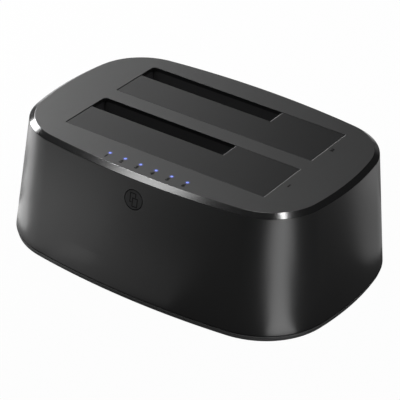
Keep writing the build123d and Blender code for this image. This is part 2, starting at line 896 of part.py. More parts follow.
def make_connector_contacts(bay):
    _, y = connector_centre(bay)
    top = board_top + connector_height
    wall = y + tongue_slot / 2
    contacts = []
    for start, length, count in zip(
        slot_starts(bay), (data_slot_length, power_slot_length), (data_contact_count, power_contact_count)
    ):
        first = start + (length - tongue_slot / 2 - (count - 1) * contact_pitch) / 2
        for i in range(count):
            x = first + i * contact_pitch
            contacts.append(
                block(
                    x - contact_width / 2, x + contact_width / 2, wall - contact_thickness, wall,
                    top - tongue_depth, top - tongue_depth + contact_length,
                )
            )
    return contacts


def gull_lead(side, reach, height, width, along):
    """One bent lead, from a chip's side out to its foot, at a place along that side."""
    points = [
        (side, height),
        (side + reach / 2, height),
        (side + reach / 2, lead_thickness),
        (side + reach, lead_thickness),
        (side + reach, 0),
        (side + reach / 2 - lead_thickness, 0),
        (side + reach / 2 - lead_thickness, height - lead_thickness),
        (side, height - lead_thickness),
    ]
    base = Wire.make_polygon([Vector(x, along - width / 2, z) for x, z in points], close=True)
    return Solid.extrude(Face(base), Vector(0, width, 0))


def lead_row(count, pitch):
    return [(i - (count - 1) / 2) * pitch for i in range(count)]


def make_bridge_chip():
    x = chip_x
    half = chip_size / 2
    body = block(
        x - half, x + half, row_y - half, row_y + half,
        board_top + chip_lift, board_top + chip_height,
    )
    return chamfer(body.edges().group_by(Axis.Z)[-1], chip_lift)


def make_bridge_chip_leads():
    place = Pos(chip_x, row_y, board_top)
    leads = []
    for turn in (0, 90, 180, 270):
        for along in lead_row(chip_side_lead_count, chip_lead_pitch):
            lead = gull_lead(chip_size / 2, chip_lead_reach, chip_height / 2, chip_lead_width, along)
            leads.append(place * Rot(0, 0, turn) * lead)
    return leads


def make_memory_chip():
    x = memory_x
    body = block(
        x - memory_length / 2, x + memory_length / 2, row_y - memory_depth / 2, row_y + memory_depth / 2,
        board_top + chip_lift, board_top + memory_height,
    )
    return chamfer(body.edges().group_by(Axis.Z)[-1], chip_lift)


def make_memory_chip_leads():
    place = Pos(memory_x, row_y, board_top)
    leads = []
    for turn in (90, 270):
        for along in lead_row(memory_side_lead_count, memory_lead_pitch):
            lead = gull_lead(memory_depth / 2, chip_lead_reach, memory_height / 2, memory_lead_width, along)
            leads.append(place * Rot(0, 0, turn) * lead)
    return leads


def make_crystal_can():
    place = Pos(crystal_x, row_y, board_top)
    flange = extrude(SlotOverall(crystal_length, crystal_depth), crystal_flange)
    inner = SlotOverall(crystal_length - 2 * crystal_flange, crystal_depth - 2 * crystal_flange)
    can = extrude(inner, crystal_height)
    can = fillet(can.edges().group_by(Axis.Z)[-1], crystal_flange)
    return place * (flange + can)


def capacitor_places():
    rear_x = (inlet_x + data_socket_x) / 2
    rear_y = board_back_y - capacitor_base / 2 - part_spacing
    return [(x, row_y) for x in capacitor_xs] + [(rear_x, rear_y)]


def make_capacitor_bases():
    bases = []
    half = capacitor_base / 2
    for x, y in capacitor_places():
        base = block(x - half, x + half, y - half, y + half, board_top, board_top + capacitor_base_height)
        cut = base.edges().filter_by(Axis.Z).group_by(Axis.X)[-1]
        bases.append(chamfer(cut, capacitor_base_height))
    return bases


def make_capacitor_cans():
    z0 = board_top + capacitor_base_height
    crimp_z = capacitor_height * capacitor_crimp_share
    profile = Polyline(
        (0, 0),
        (capacitor_radius, 0),
        (capacitor_radius, crimp_z),
        (capacitor_radius - capacitor_crimp, crimp_z + capacitor_crimp),
        (capacitor_radius, crimp_z + 2 * capacitor_crimp),
        (capacitor_radius, capacitor_height - capacitor_bevel),
        (capacitor_radius - capacitor_bevel, capacitor_height),
        (0, capacitor_height),
        close=True,
    )
    can = revolve(Plane.XZ * make_face(profile), Axis.Z)
    return [Pos(x, y, z0) * can for x, y in capacitor_places()]


def make_power_inductors():
    half = inductor_size / 2
    coils = []
    for x in inductor_xs:
        body = block(x - half, x + half, row_y - half, row_y + half, board_top, board_top + inductor_height)
        body = chamfer(body.edges().filter_by(Axis.Z), inductor_chamfer)
        coils.append(chamfer(body.edges().group_by(Axis.Z)[-1], inductor_chamfer / 2))
    return coils


# Rear ports


def make_power_inlet():
    z = board_top + inlet_axis_height
    body = block(
        inlet_x - inlet_width / 2, inlet_x + inlet_width / 2, port_back_y, panel_inner_y - seat_gap,
        board_top, board_top + inlet_height,
    )
    body += pin_y(inlet_x, z, panel_inner_y - overrun, port_nose_y, inlet_nose_radius)
    bore = pin_y(inlet_x, z, port_nose_y - inlet_bore_depth, port_nose_y + overrun, inlet_bore_radius)
    return body - bore


def make_power_inlet_pin():
    z = board_top + inlet_axis_height
    pin = pin_y(
        inlet_x, z, port_nose_y - inlet_bore_depth, port_nose_y - inlet_pin_recess, inlet_pin_radius
    )
    return fillet(pin.edges().sort_by(Axis.Y)[-1:], inlet_pin_radius / 2)


def make_data_socket_shell():
    inside = data_socket_outline(-data_socket_sheet)
    shell = prism_y(data_socket_outline(0), port_back_y, port_nose_y)
    return shell - prism_y(inside, port_back_y + data_socket_sheet, port_nose_y + overrun)


def make_data_socket_tongues():
    back = port_back_y + data_socket_sheet
    front = back + data_tongue_reach
    tongues = []
    for half, low, height in (
        (data_tongue_half_width, data_tongue_low, data_tongue_height),
        (upper_tongue_half_width, upper_tongue_low, upper_tongue_height),
    ):
        foot = board_top + low
        tongues.append(block(data_socket_x - half, data_socket_x + half, back, front, foot, foot + height))
    return tongues


# Power switch: a rocker in a moulded frame that clips into the sunk panel

switch_axis_y = panel_y + bezel_thickness - rocker_axis_sink
rocker_tip = rocker_dip + rocker_half_height * tan(radians(rocker_tilt))
rocker_sweep = hypot(rocker_half_height, rocker_tip)


def make_switch_frame():
    z = switch_z
    face_y = panel_y + bezel_thickness
    back_y = face_y - switch_body_depth - bezel_thickness
    frame = block(
        switch_x - bezel_half_length, switch_x + bezel_half_length, panel_y, face_y,
        z - bezel_half_height, z + bezel_half_height,
    )
    frame = fillet(frame.edges().group_by(Axis.Y)[-1], bezel_thickness / 2)
    frame += block(
        switch_x - switch_body_half_length, switch_x + switch_body_half_length, back_y, panel_y,
        z - switch_body_half_height, z + switch_body_half_height,
    )
    slope = atan2(rocker_tip, rocker_half_height)
    room = rocker_sweep * cos(slope - radians(rocker_tilt)) + touch_gap
    cavity_back = switch_axis_y - rocker_foot_half - rocker_floor_play
    half = rocker_half_length + touch_gap
    frame -= block(switch_x - half, switch_x + half, cavity_back, face_y + overrun, z - room, z + room)
    pin_half = rocker_half_length + rocker_pin_length + touch_gap
    return frame - pin_x(
        switch_axis_y, z, switch_x - pin_half, switch_x + pin_half, rocker_pin_radius + running_gap
    )


def make_power_rocker():
    points = [
        (rocker_tip, rocker_half_height),
        (rocker_dip, 0),
        (rocker_tip, -rocker_half_height),
        (0, -rocker_foot_half),
        (-rocker_root, -rocker_root_half),
        (-rocker_root, rocker_root_half),
        (0, rocker_foot_half),
    ]
    rocker = prism_x(points, -rocker_half_length, rocker_half_length)
    reach = rocker_half_length + rocker_pin_length
    rocker = rocker + pin_x(0, 0, -reach, reach, rocker_pin_radius)
    return Pos(switch_x, switch_axis_y, switch_z) * Rot(rocker_tilt, 0, 0) * rocker


def make_switch_terminals():
    back_y = panel_y - switch_body_depth
    tip_y = back_y - terminal_reach
    shelf_top = switch_z + terminal_thickness
    legs = []
    for offset in (-terminal_offset, 0, terminal_offset):
        x = switch_x + offset
        left = x - terminal_width / 2
        right = x + terminal_width / 2
        leg = block(left, right, tip_y, back_y, switch_z, shelf_top)
        leg += block(left, right, tip_y, tip_y + terminal_thickness, board_top, shelf_top)
        legs.append(leg)
    return legs


# Indicator board behind the front wall, with the button's key switch and the six lamps


def make_indicator_board():
    board = block(
        -indicator_half_length, indicator_half_length, indicator_front_y, indicator_back_y,
        indicator_bottom, indicator_top,
    )
    for x in indicator_screw_xs:
        board -= pin_y(
            x, indicator_screw_z, indicator_front_y - overrun, indicator_back_y + overrun,
            screw_radius + seat_gap,
        )
    return board


def make_indicator_lamps():
    lamps = []
    for x in lamp_xs:
        lamp = block(
            x - lamp_width / 2, x + lamp_width / 2, indicator_back_y, indicator_back_y + lamp_depth,
            indicator_top - lamp_height, indicator_top,
        )
        window = lamp_depth / 2 - lamp_window
        middle = indicator_back_y + lamp_depth / 2
        lamp -= block(
            x - lamp_width / 2 + lamp_window * 2, x + lamp_width / 2 - lamp_window * 2,
            middle - window, middle + window, indicator_top - lamp_window, indicator_top + overrun,
        )
        lamps.append(lamp)
    return lamps


def make_light_guide():
    reach = guide_rod_radius + guide_bar_margin
    guide = block(
        lamp_xs[0] - 2 * reach, lamp_xs[-1] + 2 * reach, lamp_row_y - reach, lamp_row_y + reach,
        cover_under - guide_bar_height, cover_under,
    )
    for x in lamp_xs:
        guide += post(x, lamp_row_y, indicator_top + touch_gap, cover_under, guide_rod_radius)
        guide += post(x, lamp_row_y, cover_under - guide_bar_height, top_z, guide_tip_radius)
    return guide


def make_key_switch():
    half = key_size / 2
    body = block(-half, half, key_front_y, indicator_front_y, button_z - half, button_z + half)
    body = chamfer(body.edges().group_by(Axis.Y)[0], key_leg / 2)
    for side_x in (-1, 1):
        for side_z in (-1, 1):
            x = side_x * (half + key_leg / 2)
            z = button_z + side_z * half / 2
            body += block(
                x - key_leg, x + key_leg, indicator_front_y - key_leg, indicator_front_y,
                z - key_leg / 2, z + key_leg / 2,
            )
    bore_end = key_front_y + key_plunger_sink + button_travel + touch_gap
    return body - pin_y(0, button_z, key_front_y - overrun, bore_end, key_plunger_radius + running_gap)


def make_key_plunger():
    return pin_y(0, button_z, button_back_y, key_front_y + key_plunger_sink, key_plunger_radius)


def make_front_button():
    """Round cap, level with the wall, on a flange that catches behind it."""
    outside = -wall_y(0, casing_bottom) - overrun
    cap = pin_y(0, button_z, outside, button_back_y, button_radius)
    cap = cap & wall_solid(0, casing_bottom, wall_top_z)
    flange = pin_y(0, button_z, outside, button_back_y, button_radius + button_flange)
    flange = flange & wall_solid(shell_wall + touch_gap, casing_bottom, wall_top_z)
    return cap + flange


def make_cable_sockets():
    half = cable_half_width + cable_socket_margin
    upper = block(
        -half, half, indicator_back_y, indicator_back_y + cable_socket_depth,
        indicator_screw_z, indicator_screw_z + cable_socket_height,
    )
    lower = block(
        -half, half, cable_y - cable_socket_depth, cable_y + cable_socket_depth,
        board_top, board_top + cable_socket_height,
    )
    return [upper, lower]


def make_flat_cable():
    return block(
        -cable_half_width, cable_half_width, cable_y - cable_thickness / 2, cable_y + cable_thickness / 2,
        board_top + cable_socket_height, indicator_screw_z,
    )


# Fasteners


def upward_screws(places, seat_z, length):
    """Screws put in from below, with the undersides of their heads at seat_z."""
    return [Pos(x, y, seat_z) * screw(length) for x, y in places]


def make_board_screws():
    return [Pos(x, y, board_top) * Rot(180, 0, 0) * screw(board_stand) for x, y in board_screws]


def make_indicator_screws():
    length = board_thickness + screw_bite - touch_gap
    turned = Rot(90, 0, 0) * screw(length)
    return [Pos(x, indicator_back_y, indicator_screw_z) * turned for x in indicator_screw_xs]


# Writing the nodes

os.makedirs("parts", exist_ok=True)
save("casing", make_casing())
save("top_cover", make_top_cover())
save("base_cover", make_base_cover())
for name, place in zip(("front_left", "front_right", "rear_left", "rear_right"), foot_places):
    save(f"foot_{name}", make_foot(*place))
for bay in bay_front_y:
    save(f"{bay}_drive_well", make_drive_well(bay))
    save(f"{bay}_flap", make_flap(bay))
    save(f"{bay}_hinge_rod", make_hinge_rod(bay))
    save(f"{bay}_flap_spring", make_flap_spring(bay))
    save(f"{bay}_drive_connector", make_drive_connector(bay))
    save(f"{bay}_connector_contacts", *make_connector_contacts(bay))
save("main_board", make_main_board())
save("bridge_chip", make_bridge_chip())
save("bridge_chip_leads", *make_bridge_chip_leads())
save("memory_chip", make_memory_chip())
save("memory_chip_leads", *make_memory_chip_leads())
save("crystal_can", make_crystal_can())
save("capacitor_bases", *make_capacitor_bases())
save("capacitor_cans", *make_capacitor_cans())
save("power_inductors", *make_power_inductors())
save("power_inlet", make_power_inlet())
save("power_inlet_pin", make_power_inlet_pin())
save("data_socket_shell", make_data_socket_shell())
save("data_socket_tongues", *make_data_socket_tongues())
save("switch_frame", make_switch_frame())
save("power_rocker", make_power_rocker())
save("switch_terminals", *make_switch_terminals())
save("indicator_board", make_indicator_board())
save("indicator_lamps", *make_indicator_lamps())
save("light_guide", make_light_guide())
save("key_switch", make_key_switch())
save("key_plunger", make_key_plunger())
save("front_button", make_front_button())
save("cable_sockets", *make_cable_sockets())
save("flat_cable", make_flat_cable())
save("base_screws", *upward_screws(boss_places, corner_seat_z, pad_top + screw_bite - corner_seat_z))
cover_screw_length = lug_thickness + screw_bite - touch_gap
save("cover_screws", *upward_screws(lug_places, lug_top - lug_thickness, cover_screw_length))
for bay in bay_front_y:
    seat_z = ear_top_z - well_ear_thickness
    length = well_ear_thickness + well_ear_drop
    save(f"{bay}_well_screws", *upward_screws(well_ear_places(bay), seat_z, length - touch_gap))
save("board_screws", *make_board_screws())
save("indicator_screws", *make_indicator_screws())
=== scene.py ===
import json
import math

import bmesh
import bpy
from mathutils import Matrix, Vector


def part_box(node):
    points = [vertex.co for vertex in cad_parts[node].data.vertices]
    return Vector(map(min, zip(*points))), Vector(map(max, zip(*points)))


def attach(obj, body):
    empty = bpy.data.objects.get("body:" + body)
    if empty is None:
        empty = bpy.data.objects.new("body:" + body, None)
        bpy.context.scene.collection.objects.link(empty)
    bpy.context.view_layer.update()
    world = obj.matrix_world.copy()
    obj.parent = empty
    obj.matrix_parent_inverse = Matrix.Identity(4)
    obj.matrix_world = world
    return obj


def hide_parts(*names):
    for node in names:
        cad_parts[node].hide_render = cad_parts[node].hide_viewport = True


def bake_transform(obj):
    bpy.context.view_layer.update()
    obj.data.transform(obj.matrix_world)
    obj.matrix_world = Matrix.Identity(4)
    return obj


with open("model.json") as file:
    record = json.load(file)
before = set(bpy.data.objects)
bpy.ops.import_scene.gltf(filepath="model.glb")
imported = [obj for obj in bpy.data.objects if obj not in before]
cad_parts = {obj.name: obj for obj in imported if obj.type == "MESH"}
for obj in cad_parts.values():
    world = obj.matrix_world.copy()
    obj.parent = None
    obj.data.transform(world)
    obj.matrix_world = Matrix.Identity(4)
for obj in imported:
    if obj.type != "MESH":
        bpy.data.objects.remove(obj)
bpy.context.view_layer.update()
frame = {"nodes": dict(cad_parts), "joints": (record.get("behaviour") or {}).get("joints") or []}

scene = bpy.context.scene
nodes = frame["nodes"]
mm = 0.001


# Camera
# It stands in front of the right-hand corner and looks down on the dock with a long lens,
# leaning a little.
camera_place = Vector((403.8, -628.0, 478.8)) * mm
camera_turn = math.radians(32.738)
camera_rise = math.radians(31.316)
camera_roll = math.radians(-2.772)
camera_lens = 172.74
camera_sensor = 36.0
camera_reach = 20.0

camera_data = bpy.data.cameras.new("camera")
camera_data.lens = camera_lens
camera_data.sensor_width = camera_sensor
camera_data.clip_end = camera_reach
camera = bpy.data.objects.new("camera", camera_data)
back = Vector((
    math.sin(camera_turn) * math.cos(camera_rise),
    -math.cos(camera_turn) * math.cos(camera_rise),
    math.sin(camera_rise),
))
level = Vector((math.cos(camera_turn), math.sin(camera_turn), 0))
upright = back.cross(level)
right = level * math.cos(camera_roll) - upright * math.sin(camera_roll)
above = level * math.sin(camera_roll) + upright * math.cos(camera_roll)
camera_axes = Matrix((right, above, back)).transposed().to_4x4()
camera.matrix_world = Matrix.Translation(camera_place) @ camera_axes
scene.collection.objects.link(camera)
scene.camera = camera


# Base
# A shallow moulded tray that closes the dock from below. Its matt outer band shows under the
# dark seam, drawn in at its foot, and the underside has recesses for feet, screws and a label.
print_height = 0.02 * mm
cover_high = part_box("top_cover")[1]
shell_low, shell_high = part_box("casing")
base_low, base_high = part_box("base_cover")
top_z = cover_high.z - print_height
rim_out = 2.5 * mm
rim_z = shell_high.z
shell_bottom = shell_low.z
seam_gap = 0.35 * mm
seam_z = shell_bottom - seam_gap
half_length = cover_high.x - rim_out
half_width = cover_high.y - rim_out
outline_play = 0.03 * mm
seam_grow = base_high.x - half_length - outline_play
long_radius = 362 * mm
short_radius = 146 * mm
corner_radius = 26.9 * mm
shell_wall = 2.4 * mm
edge_round = 0.3 * mm
arc_steps = {"long": 44, "short": 26, "corner": 44}

span = math.hypot(half_length - short_radius, half_width - long_radius)
long_inner = long_radius - corner_radius
short_inner = short_radius - corner_radius
reach = (long_inner**2 - short_inner**2 + span**2) / (2 * span)
rise = math.sqrt(long_inner**2 - reach**2)
toward = Vector((half_length - short_radius, long_radius - half_width)) / span
corner = Vector((0, half_width - long_radius)) + toward * reach + Vector((toward.y, -toward.x)) * rise
steep = math.atan2(corner.y - (half_width - long_radius), corner.x)
flat = math.atan2(corner.y, corner.x - (half_length - short_radius))


def wall_grow(z):
    """How far the casing's outer face stands outside the top face's outline at a height."""
    return seam_grow - (z - seam_z) * (seam_grow - rim_out) / (rim_z - seam_z)


def wall_y(x, z):
    """Half width of the casing's outer face at a place on its long side."""
    return half_width - long_radius + math.sqrt((long_radius + wall_grow(z)) ** 2 - x**2)


def ring(bm, grow, z):
    """One closed loop of edges along the eight-arc outline, grown outwards, at a height."""
    arcs = []
    for sign_x, sign_y in ((1, 1), (-1, -1)):
        arcs += [
            (sign_x * (half_length - short_radius), 0, 2 * flat, "short"),
            (sign_x * corner.x, sign_y * corner.y, steep - flat, "corner"),
            (0, sign_y * (half_width - long_radius), math.pi - 2 * steep, "long"),
            (-sign_x * corner.x, sign_y * corner.y, steep - flat, "corner"),
        ]
    radius = short_radius + grow
    start_x = half_length - short_radius + radius * math.cos(flat)
    start = bm.verts.new((start_x, -radius * math.sin(flat), z))
    end = start
    for cx, cy, angle, kind in arcs:
        turned = bmesh.ops.spin(
            bm, geom=[end], cent=(cx, cy, z), axis=(0, 0, 1), angle=angle, steps=arc_steps[kind],
            use_merge=False,
        )
        end = next(v for v in turned["geom_last"] if isinstance(v, bmesh.types.BMVert))
    bmesh.ops.weld_verts(bm, targetmap={end: start})
    loop = []
    vert = start
    while not loop or vert is not start:
        edge = next(e for e in vert.link_edges if e not in loop[-1:])
        loop.append(edge)
        vert = edge.other_vert(vert)
    return loop


def skin(bm, profile, close=False):
    """Rings along a list of (grow, height), bridged while apart, then put at their heights."""
    rings = [ring(bm, grow, i * mm) for i, (grow, z) in enumerate(profile)]
    pairs = list(zip(rings, rings[1:]))
    if close:
        pairs.append((rings[-1], rings[0]))
    for low, high in pairs:
        bmesh.ops.bridge_loops(bm, edges=low + high)
    for i, (loop, (grow, z)) in enumerate(zip(rings, profile)):
        verts = list({v for e in loop for v in e.verts})
        bmesh.ops.translate(bm, verts=verts, vec=(0, 0, z - i * mm))
    return rings


def cap(bm, *rings):
    """Close rings with a face each."""
    for edges in rings:
        bmesh.ops.contextual_create(bm, geom=edges)


def block(bm, x0, x1, y0, y1, z0, z1):
    """A box between two corners."""
    for vert in bmesh.ops.create_cube(bm, size=1)["verts"]:
        x, y, z = vert.co
        vert.co = (x1 if x > 0 else x0, y1 if y > 0 else y0, z1 if z > 0 else z0)


def rod(bm, centre, axis, length, radius, segments=48):
    """A capped cylinder about a centre along X, Y or Z."""
    quarter = math.pi / 2
    turns = {"X": Matrix.Rotation(quarter, 4, "Y"), "Y": Matrix.Rotation(quarter, 4, "X"), "Z": Matrix()}
    bmesh.ops.create_cone(
        bm, cap_ends=True, segments=segments, radius1=radius, radius2=radius, depth=length,
        matrix=Matrix.Translation(centre) @ turns[axis],
    )


def push(bm, face, vec):
    """Extrude a face into a solid; gives the far face."""
    pushed = bmesh.ops.extrude_face_region(bm, geom=[face])["geom"]
    bmesh.ops.translate(bm, verts=[v for v in pushed if isinstance(v, bmesh.types.BMVert)], vec=vec)
    return next(f for f in pushed if isinstance(f, bmesh.types.BMFace))


def soften(bm, edges, amount, segments=3):
    """Round edges with a bevel."""
    bmesh.ops.bevel(
        bm, geom=edges, offset=amount, offset_type="OFFSET", segments=segments, profile=0.5,
        affect="EDGES", material=-1, clamp_overlap=True,
    )


def upright_edges(bm):
    """The edges that run up rather than along."""
    return [e for e in bm.edges if abs(e.verts[0].co.z - e.verts[1].co.z) > 0.9 * e.calc_length()]


def piece(name, bm):
    """Turn a bmesh into an object of the scene, with its faces pointing out."""
    bmesh.ops.recalc_face_normals(bm, faces=bm.faces)
    mesh = bpy.data.meshes.new(name)
    bm.to_mesh(mesh)
    bm.free()
    made = bpy.data.objects.new(name, mesh)
    scene.collection.objects.link(made)
    return made


def combine(target, tool, operation="DIFFERENCE"):
    """Cut the tool out of the target, add it or keep what they share, for good."""
    change = target.modifiers.new("combine", "BOOLEAN")
    change.object = tool
    change.operation = operation
    change.solver = "EXACT"
    graph = bpy.context.evaluated_depsgraph_get()
    mesh = bpy.data.meshes.new_from_object(target.evaluated_get(graph))
    target.modifiers.clear()
    target.data = mesh
    bpy.data.objects.remove(tool)


def smooth(made, angle=30):
    """Shade round faces smooth, keep real corners sharp, and let each large face stay flat."""
    made.data.polygons.foreach_set("use_smooth", [True] * len(made.data.polygons))
    made.data.set_sharp_from_angle(angle=math.radians(angle))
    weighted = made.modifiers.new("normals", "WEIGHTED_NORMAL")
    weighted.keep_sharp = True
    weighted.weight = 100
    graph = bpy.context.evaluated_depsgraph_get()
    mesh = bpy.data.meshes.new_from_object(made.evaluated_get(graph))
    made.modifiers.clear()
    made.data = mesh


def node(tree, kind, settings=None, **inputs):
    """A shader node with its settings and inputs, each a value or another node's socket."""
    made = tree.nodes.new("ShaderNode" + kind)
    for name, value in (settings or {}).items():
        setattr(made, name, value)
    for name, value in inputs.items():
        key = int(name[1:]) if name[1:].isdigit() else name.replace("_", " ")
        socket = made.inputs[key]
        if isinstance(value, bpy.types.NodeSocket):
            tree.links.new(value, socket)
        else:
            socket.default_value = value
    return made


def material(name):
    """A new node material, with its tree, its shader and the object coordinates."""
    made = bpy.data.materials.new(name)
    made.use_nodes = True
    tree = made.node_tree
    return made, tree, tree.nodes["Principled BSDF"], node(tree, "TexCoord").outputs["Object"]


def ramp(tree, fac, low, high, start=0.35, end=0.65):
    """A colour between two colours."""
    made = node(tree, "ValToRGB", Fac=fac)
    for element, colour, place in zip(made.color_ramp.elements, (low, high), (start, end)):
        element.color = (*colour, 1)
        element.position = place
    return made.outputs["Color"]


def noise(tree, place, size, detail=3.0):
    """Noise whose patches are about the given size."""
    return node(tree, "TexNoise", Vector=place, Scale=1 / size, Detail=detail).outputs["Fac"]


def raise_grain(tree, shader, height, depth, strength=1.0):
    """Bump the surface by a height."""
    bump = node(tree, "Bump", Strength=strength, Distance=depth, Height=height)
    tree.links.new(bump.outputs["Normal"], shader.inputs["Normal"])


def vary_gloss(tree, shader, value, smoothest, roughest):
    """Let the roughness run between two values."""
    gloss = node(tree, "MapRange", Value=value, To_Min=smoothest, To_Max=roughest)
    tree.links.new(gloss.outputs["Result"], shader.inputs["Roughness"])


def moulded(name, colour, roughness, grain=0.35 * mm, depth=0.012 * mm, drift=0.06, specular=0.5):
    """Moulded plastic: a spark-eroded grain in the bump, and slow changes of shade and gloss."""
    made, tree, shader, place = material(name)
    fine = noise(tree, place, grain)
    slow = noise(tree, place, 40 * mm, 2.0)
    shader.inputs["Specular IOR Level"].default_value = specular
    dark = [c * (1 - drift) for c in colour]
    light = [c * (1 + drift) for c in colour]
    tree.links.new(ramp(tree, slow, dark, light), shader.inputs["Base Color"])
    vary_gloss(tree, shader, fine, roughness - 0.03, roughness + 0.03)
    raise_grain(tree, shader, fine, depth)
    return made


def dress(made, paint, body, slot, *stands_for):
    """Give a finished piece its material, its body and the CAD nodes that it stands for."""
    made.data.materials.clear()
    made.data.materials.append(paint)
    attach(made, body)
    if stands_for:
        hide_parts(*stands_for)


def finish(paint, *names):
    """Give carried-over CAD nodes a material."""
    for name in names:
        for held in nodes[name].material_slots:
            held.material = paint


band_tuck = 0.6 * mm
band_round = 0.8 * mm
seam_depth = 1.0 * mm
seam_lip = 0.3 * mm
seam_trough = 0.6 * mm
base_floor = 2.4 * mm
lip_play = 0.1 * mm
lip_wall = 1.2 * mm
base_bottom = base_low.z
lip_grow = wall_grow(base_high.z) - shell_wall - lip_play
bm = bmesh.new()
profile = []
for turn in (0, 30, 60, 84):
    turn = math.radians(turn)
    grow = seam_grow - band_tuck - band_round * (1 - math.sin(turn))
    profile.append((grow, base_bottom + band_round * (1 - math.cos(turn))))
profile += [
    (seam_grow, seam_z - edge_round / 2),
    (seam_grow - edge_round / 4, seam_z),
    (seam_grow - seam_lip, seam_z),
    (seam_grow - seam_lip, seam_z - seam_trough),
    (seam_grow - seam_depth, seam_z - seam_trough),
    (seam_grow - seam_depth, shell_bottom),
    (lip_grow, shell_bottom),
    (lip_grow, base_high.z),
    (lip_grow - lip_wall, base_high.z),
    (lip_grow - lip_wall, base_bottom + base_floor),
]
rings = skin(bm, profile)
cap(bm, rings[0], rings[-1])
base = piece("base_tray", bm)
foot_names = ("foot_front_left", "foot_front_right", "foot_rear_left", "foot_rear_right")
foot_radius = 6 * mm
screw_low, screw_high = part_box("base_screws")
head_radius = 2.2 * mm
head_height = 1.4 * mm
recess_play = 0.1 * mm
bm = bmesh.new()
for name in foot_names:
    low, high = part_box(name)
    middle = (low + high) / 2
    depth = 2 * (high.z - base_bottom)
    rod(bm, (middle.x, middle.y, base_bottom), "Z", depth, foot_radius + recess_play, 64)
depth = 2 * (screw_low.z + head_height - base_bottom)
for side_x in (-1, 1):
    for side_y in (-1, 1):
        place = (side_x * (screw_high.x - head_radius), side_y * (screw_high.y - head_radius), base_bottom)
        rod(bm, place, "Z", depth, head_radius + recess_play)
combine(base, piece("foot_recesses", bm))
label_half_length = 32 * mm
label_half_width = 17 * mm
label_corner = 3 * mm
label_sink = 0.3 * mm
bm = bmesh.new()
block(
    bm, -label_half_length, label_half_length, -label_half_width, label_half_width,
    base_bottom - mm, base_bottom + label_sink,
)
soften(bm, upright_edges(bm), label_corner, 8)
combine(base, piece("label_recess", bm))
smooth(base, 28)
matt_base = moulded("matt_base", (0.1, 0.1007, 0.1015), 0.52, grain=0.4 * mm)
dress(base, matt_base, "housing", "base_plastic", "base_cover")


# Feet
# Four soft rubber pucks pressed into the base, slightly dusty and the dullest thing on the dock.
rubber, tree, shader, place = material("pad_rubber")
dusty = ramp(tree, noise(tree, place, 3 * mm), (0.016, 0.016, 0.017), (0.03, 0.03, 0.031))
tree.links.new(dusty, shader.inputs["Base Color"])
shader.inputs["Roughness"].default_value = 0.85
shader.inputs["Sheen Weight"].default_value = 0.15
raise_grain(tree, shader, noise(tree, place, 0.25 * mm), 0.03 * mm)
finish(rubber, *foot_names)


# Screws
# Zinc-plated steel with pan heads and a cross recess. They hold the base, the board, the cover,
# the indicator board and the drive wells.
def metal(name, colour, roughness, grain, stretch=(1, 1, 1), depth=0.004 * mm):
    """Bare or plated metal: brushed or grained in a direction, with a little tarnish."""
    made, tree, shader, place = material(name)
    brushed = node(tree, "Mapping", Vector=place, Scale=stretch).outputs["Vector"]
    fine = noise(tree, brushed, grain)
    dull = [c * 0.82 for c in colour]
    tree.links.new(ramp(tree, noise(tree, place, 6 * grain, 2.0), dull, colour), shader.inputs["Base Color"])
    shader.inputs["Metallic"].default_value = 1
    vary_gloss(tree, shader, fine, roughness - 0.06, roughness + 0.08)
    raise_grain(tree, shader, fine, depth)
    return made


screw_steel = metal("zinc_plate", (0.52, 0.53, 0.55), 0.3, 0.3 * mm)
finish(screw_steel, "base_screws", "cover_screws", "board_screws", "indicator_screws",
       "front_well_screws", "rear_well_screws")


# Main board
# A green glass-fibre board with fine copper tracks under its lacquer and plated holes. It stands
# on the base's posts and carries the chips, the cans, the chokes and the ports.
def arithmetic(tree, operation, first, second=0.0):
    """One sum on two values or sockets."""
    return node(tree, "Math", {"operation": operation}, i0=first, i1=second).outputs[0]


laminate, tree, shader, place = material("green_laminate")
tracks = node(
    tree, "TexBrick", {"offset": 0.35, "squash": 0.6, "squash_frequency": 3},
    Vector=place, Scale=1 / (6 * mm),
    Color1=(0.008, 0.085, 0.035, 1), Color2=(0.01, 0.1, 0.042, 1), Mortar=(0.02, 0.17, 0.075, 1),
    Mortar_Size=0.045, Brick_Width=1.4, Row_Height=0.3,
).outputs["Color"]
hole = node(tree, "TexVoronoi", Vector=place, Scale=1 / (4.2 * mm), Randomness=0.8).outputs["Distance"]
plated = arithmetic(tree, "LESS_THAN", hole, 0.085)
board_colour = node(tree, "MixRGB", Fac=plated, Color1=tracks, Color2=(0.62, 0.47, 0.2, 1)).outputs[0]
tree.links.new(board_colour, shader.inputs["Base Color"])
weave = node(tree, "TexWave", Vector=place, Scale=1 / (1.2 * mm), Distortion=0.6).outputs["Fac"]
vary_gloss(tree, shader, weave, 0.3, 0.42)
raise_grain(tree, shader, tracks, 0.02 * mm, strength=0.6)
finish(laminate, "main_board", "indicator_board")

chip_resin = moulded("chip_resin", (0.017, 0.017, 0.018), 0.6, grain=0.15 * mm, depth=0.02 * mm, drift=0.15)
finish(chip_resin, "bridge_chip", "memory_chip")
tinned = metal("tinned_leads", (0.6, 0.6, 0.62), 0.35, 0.25 * mm)
finish(tinned, "bridge_chip_leads", "memory_chip_leads", "switch_terminals")
can_metal = metal("brushed_can", (0.68, 0.69, 0.7), 0.28, 0.2 * mm, stretch=(1, 1, 6))
finish(can_metal, "crystal_can", "capacitor_cans")
can_foot = moulded("can_foot", (0.02, 0.02, 0.021), 0.5, drift=0.1)
finish(can_foot, "capacitor_bases")
ferrite = moulded("ferrite", (0.03, 0.03, 0.032), 0.7, grain=0.2 * mm, depth=0.04 * mm, drift=0.25)
finish(ferrite, "power_inductors")


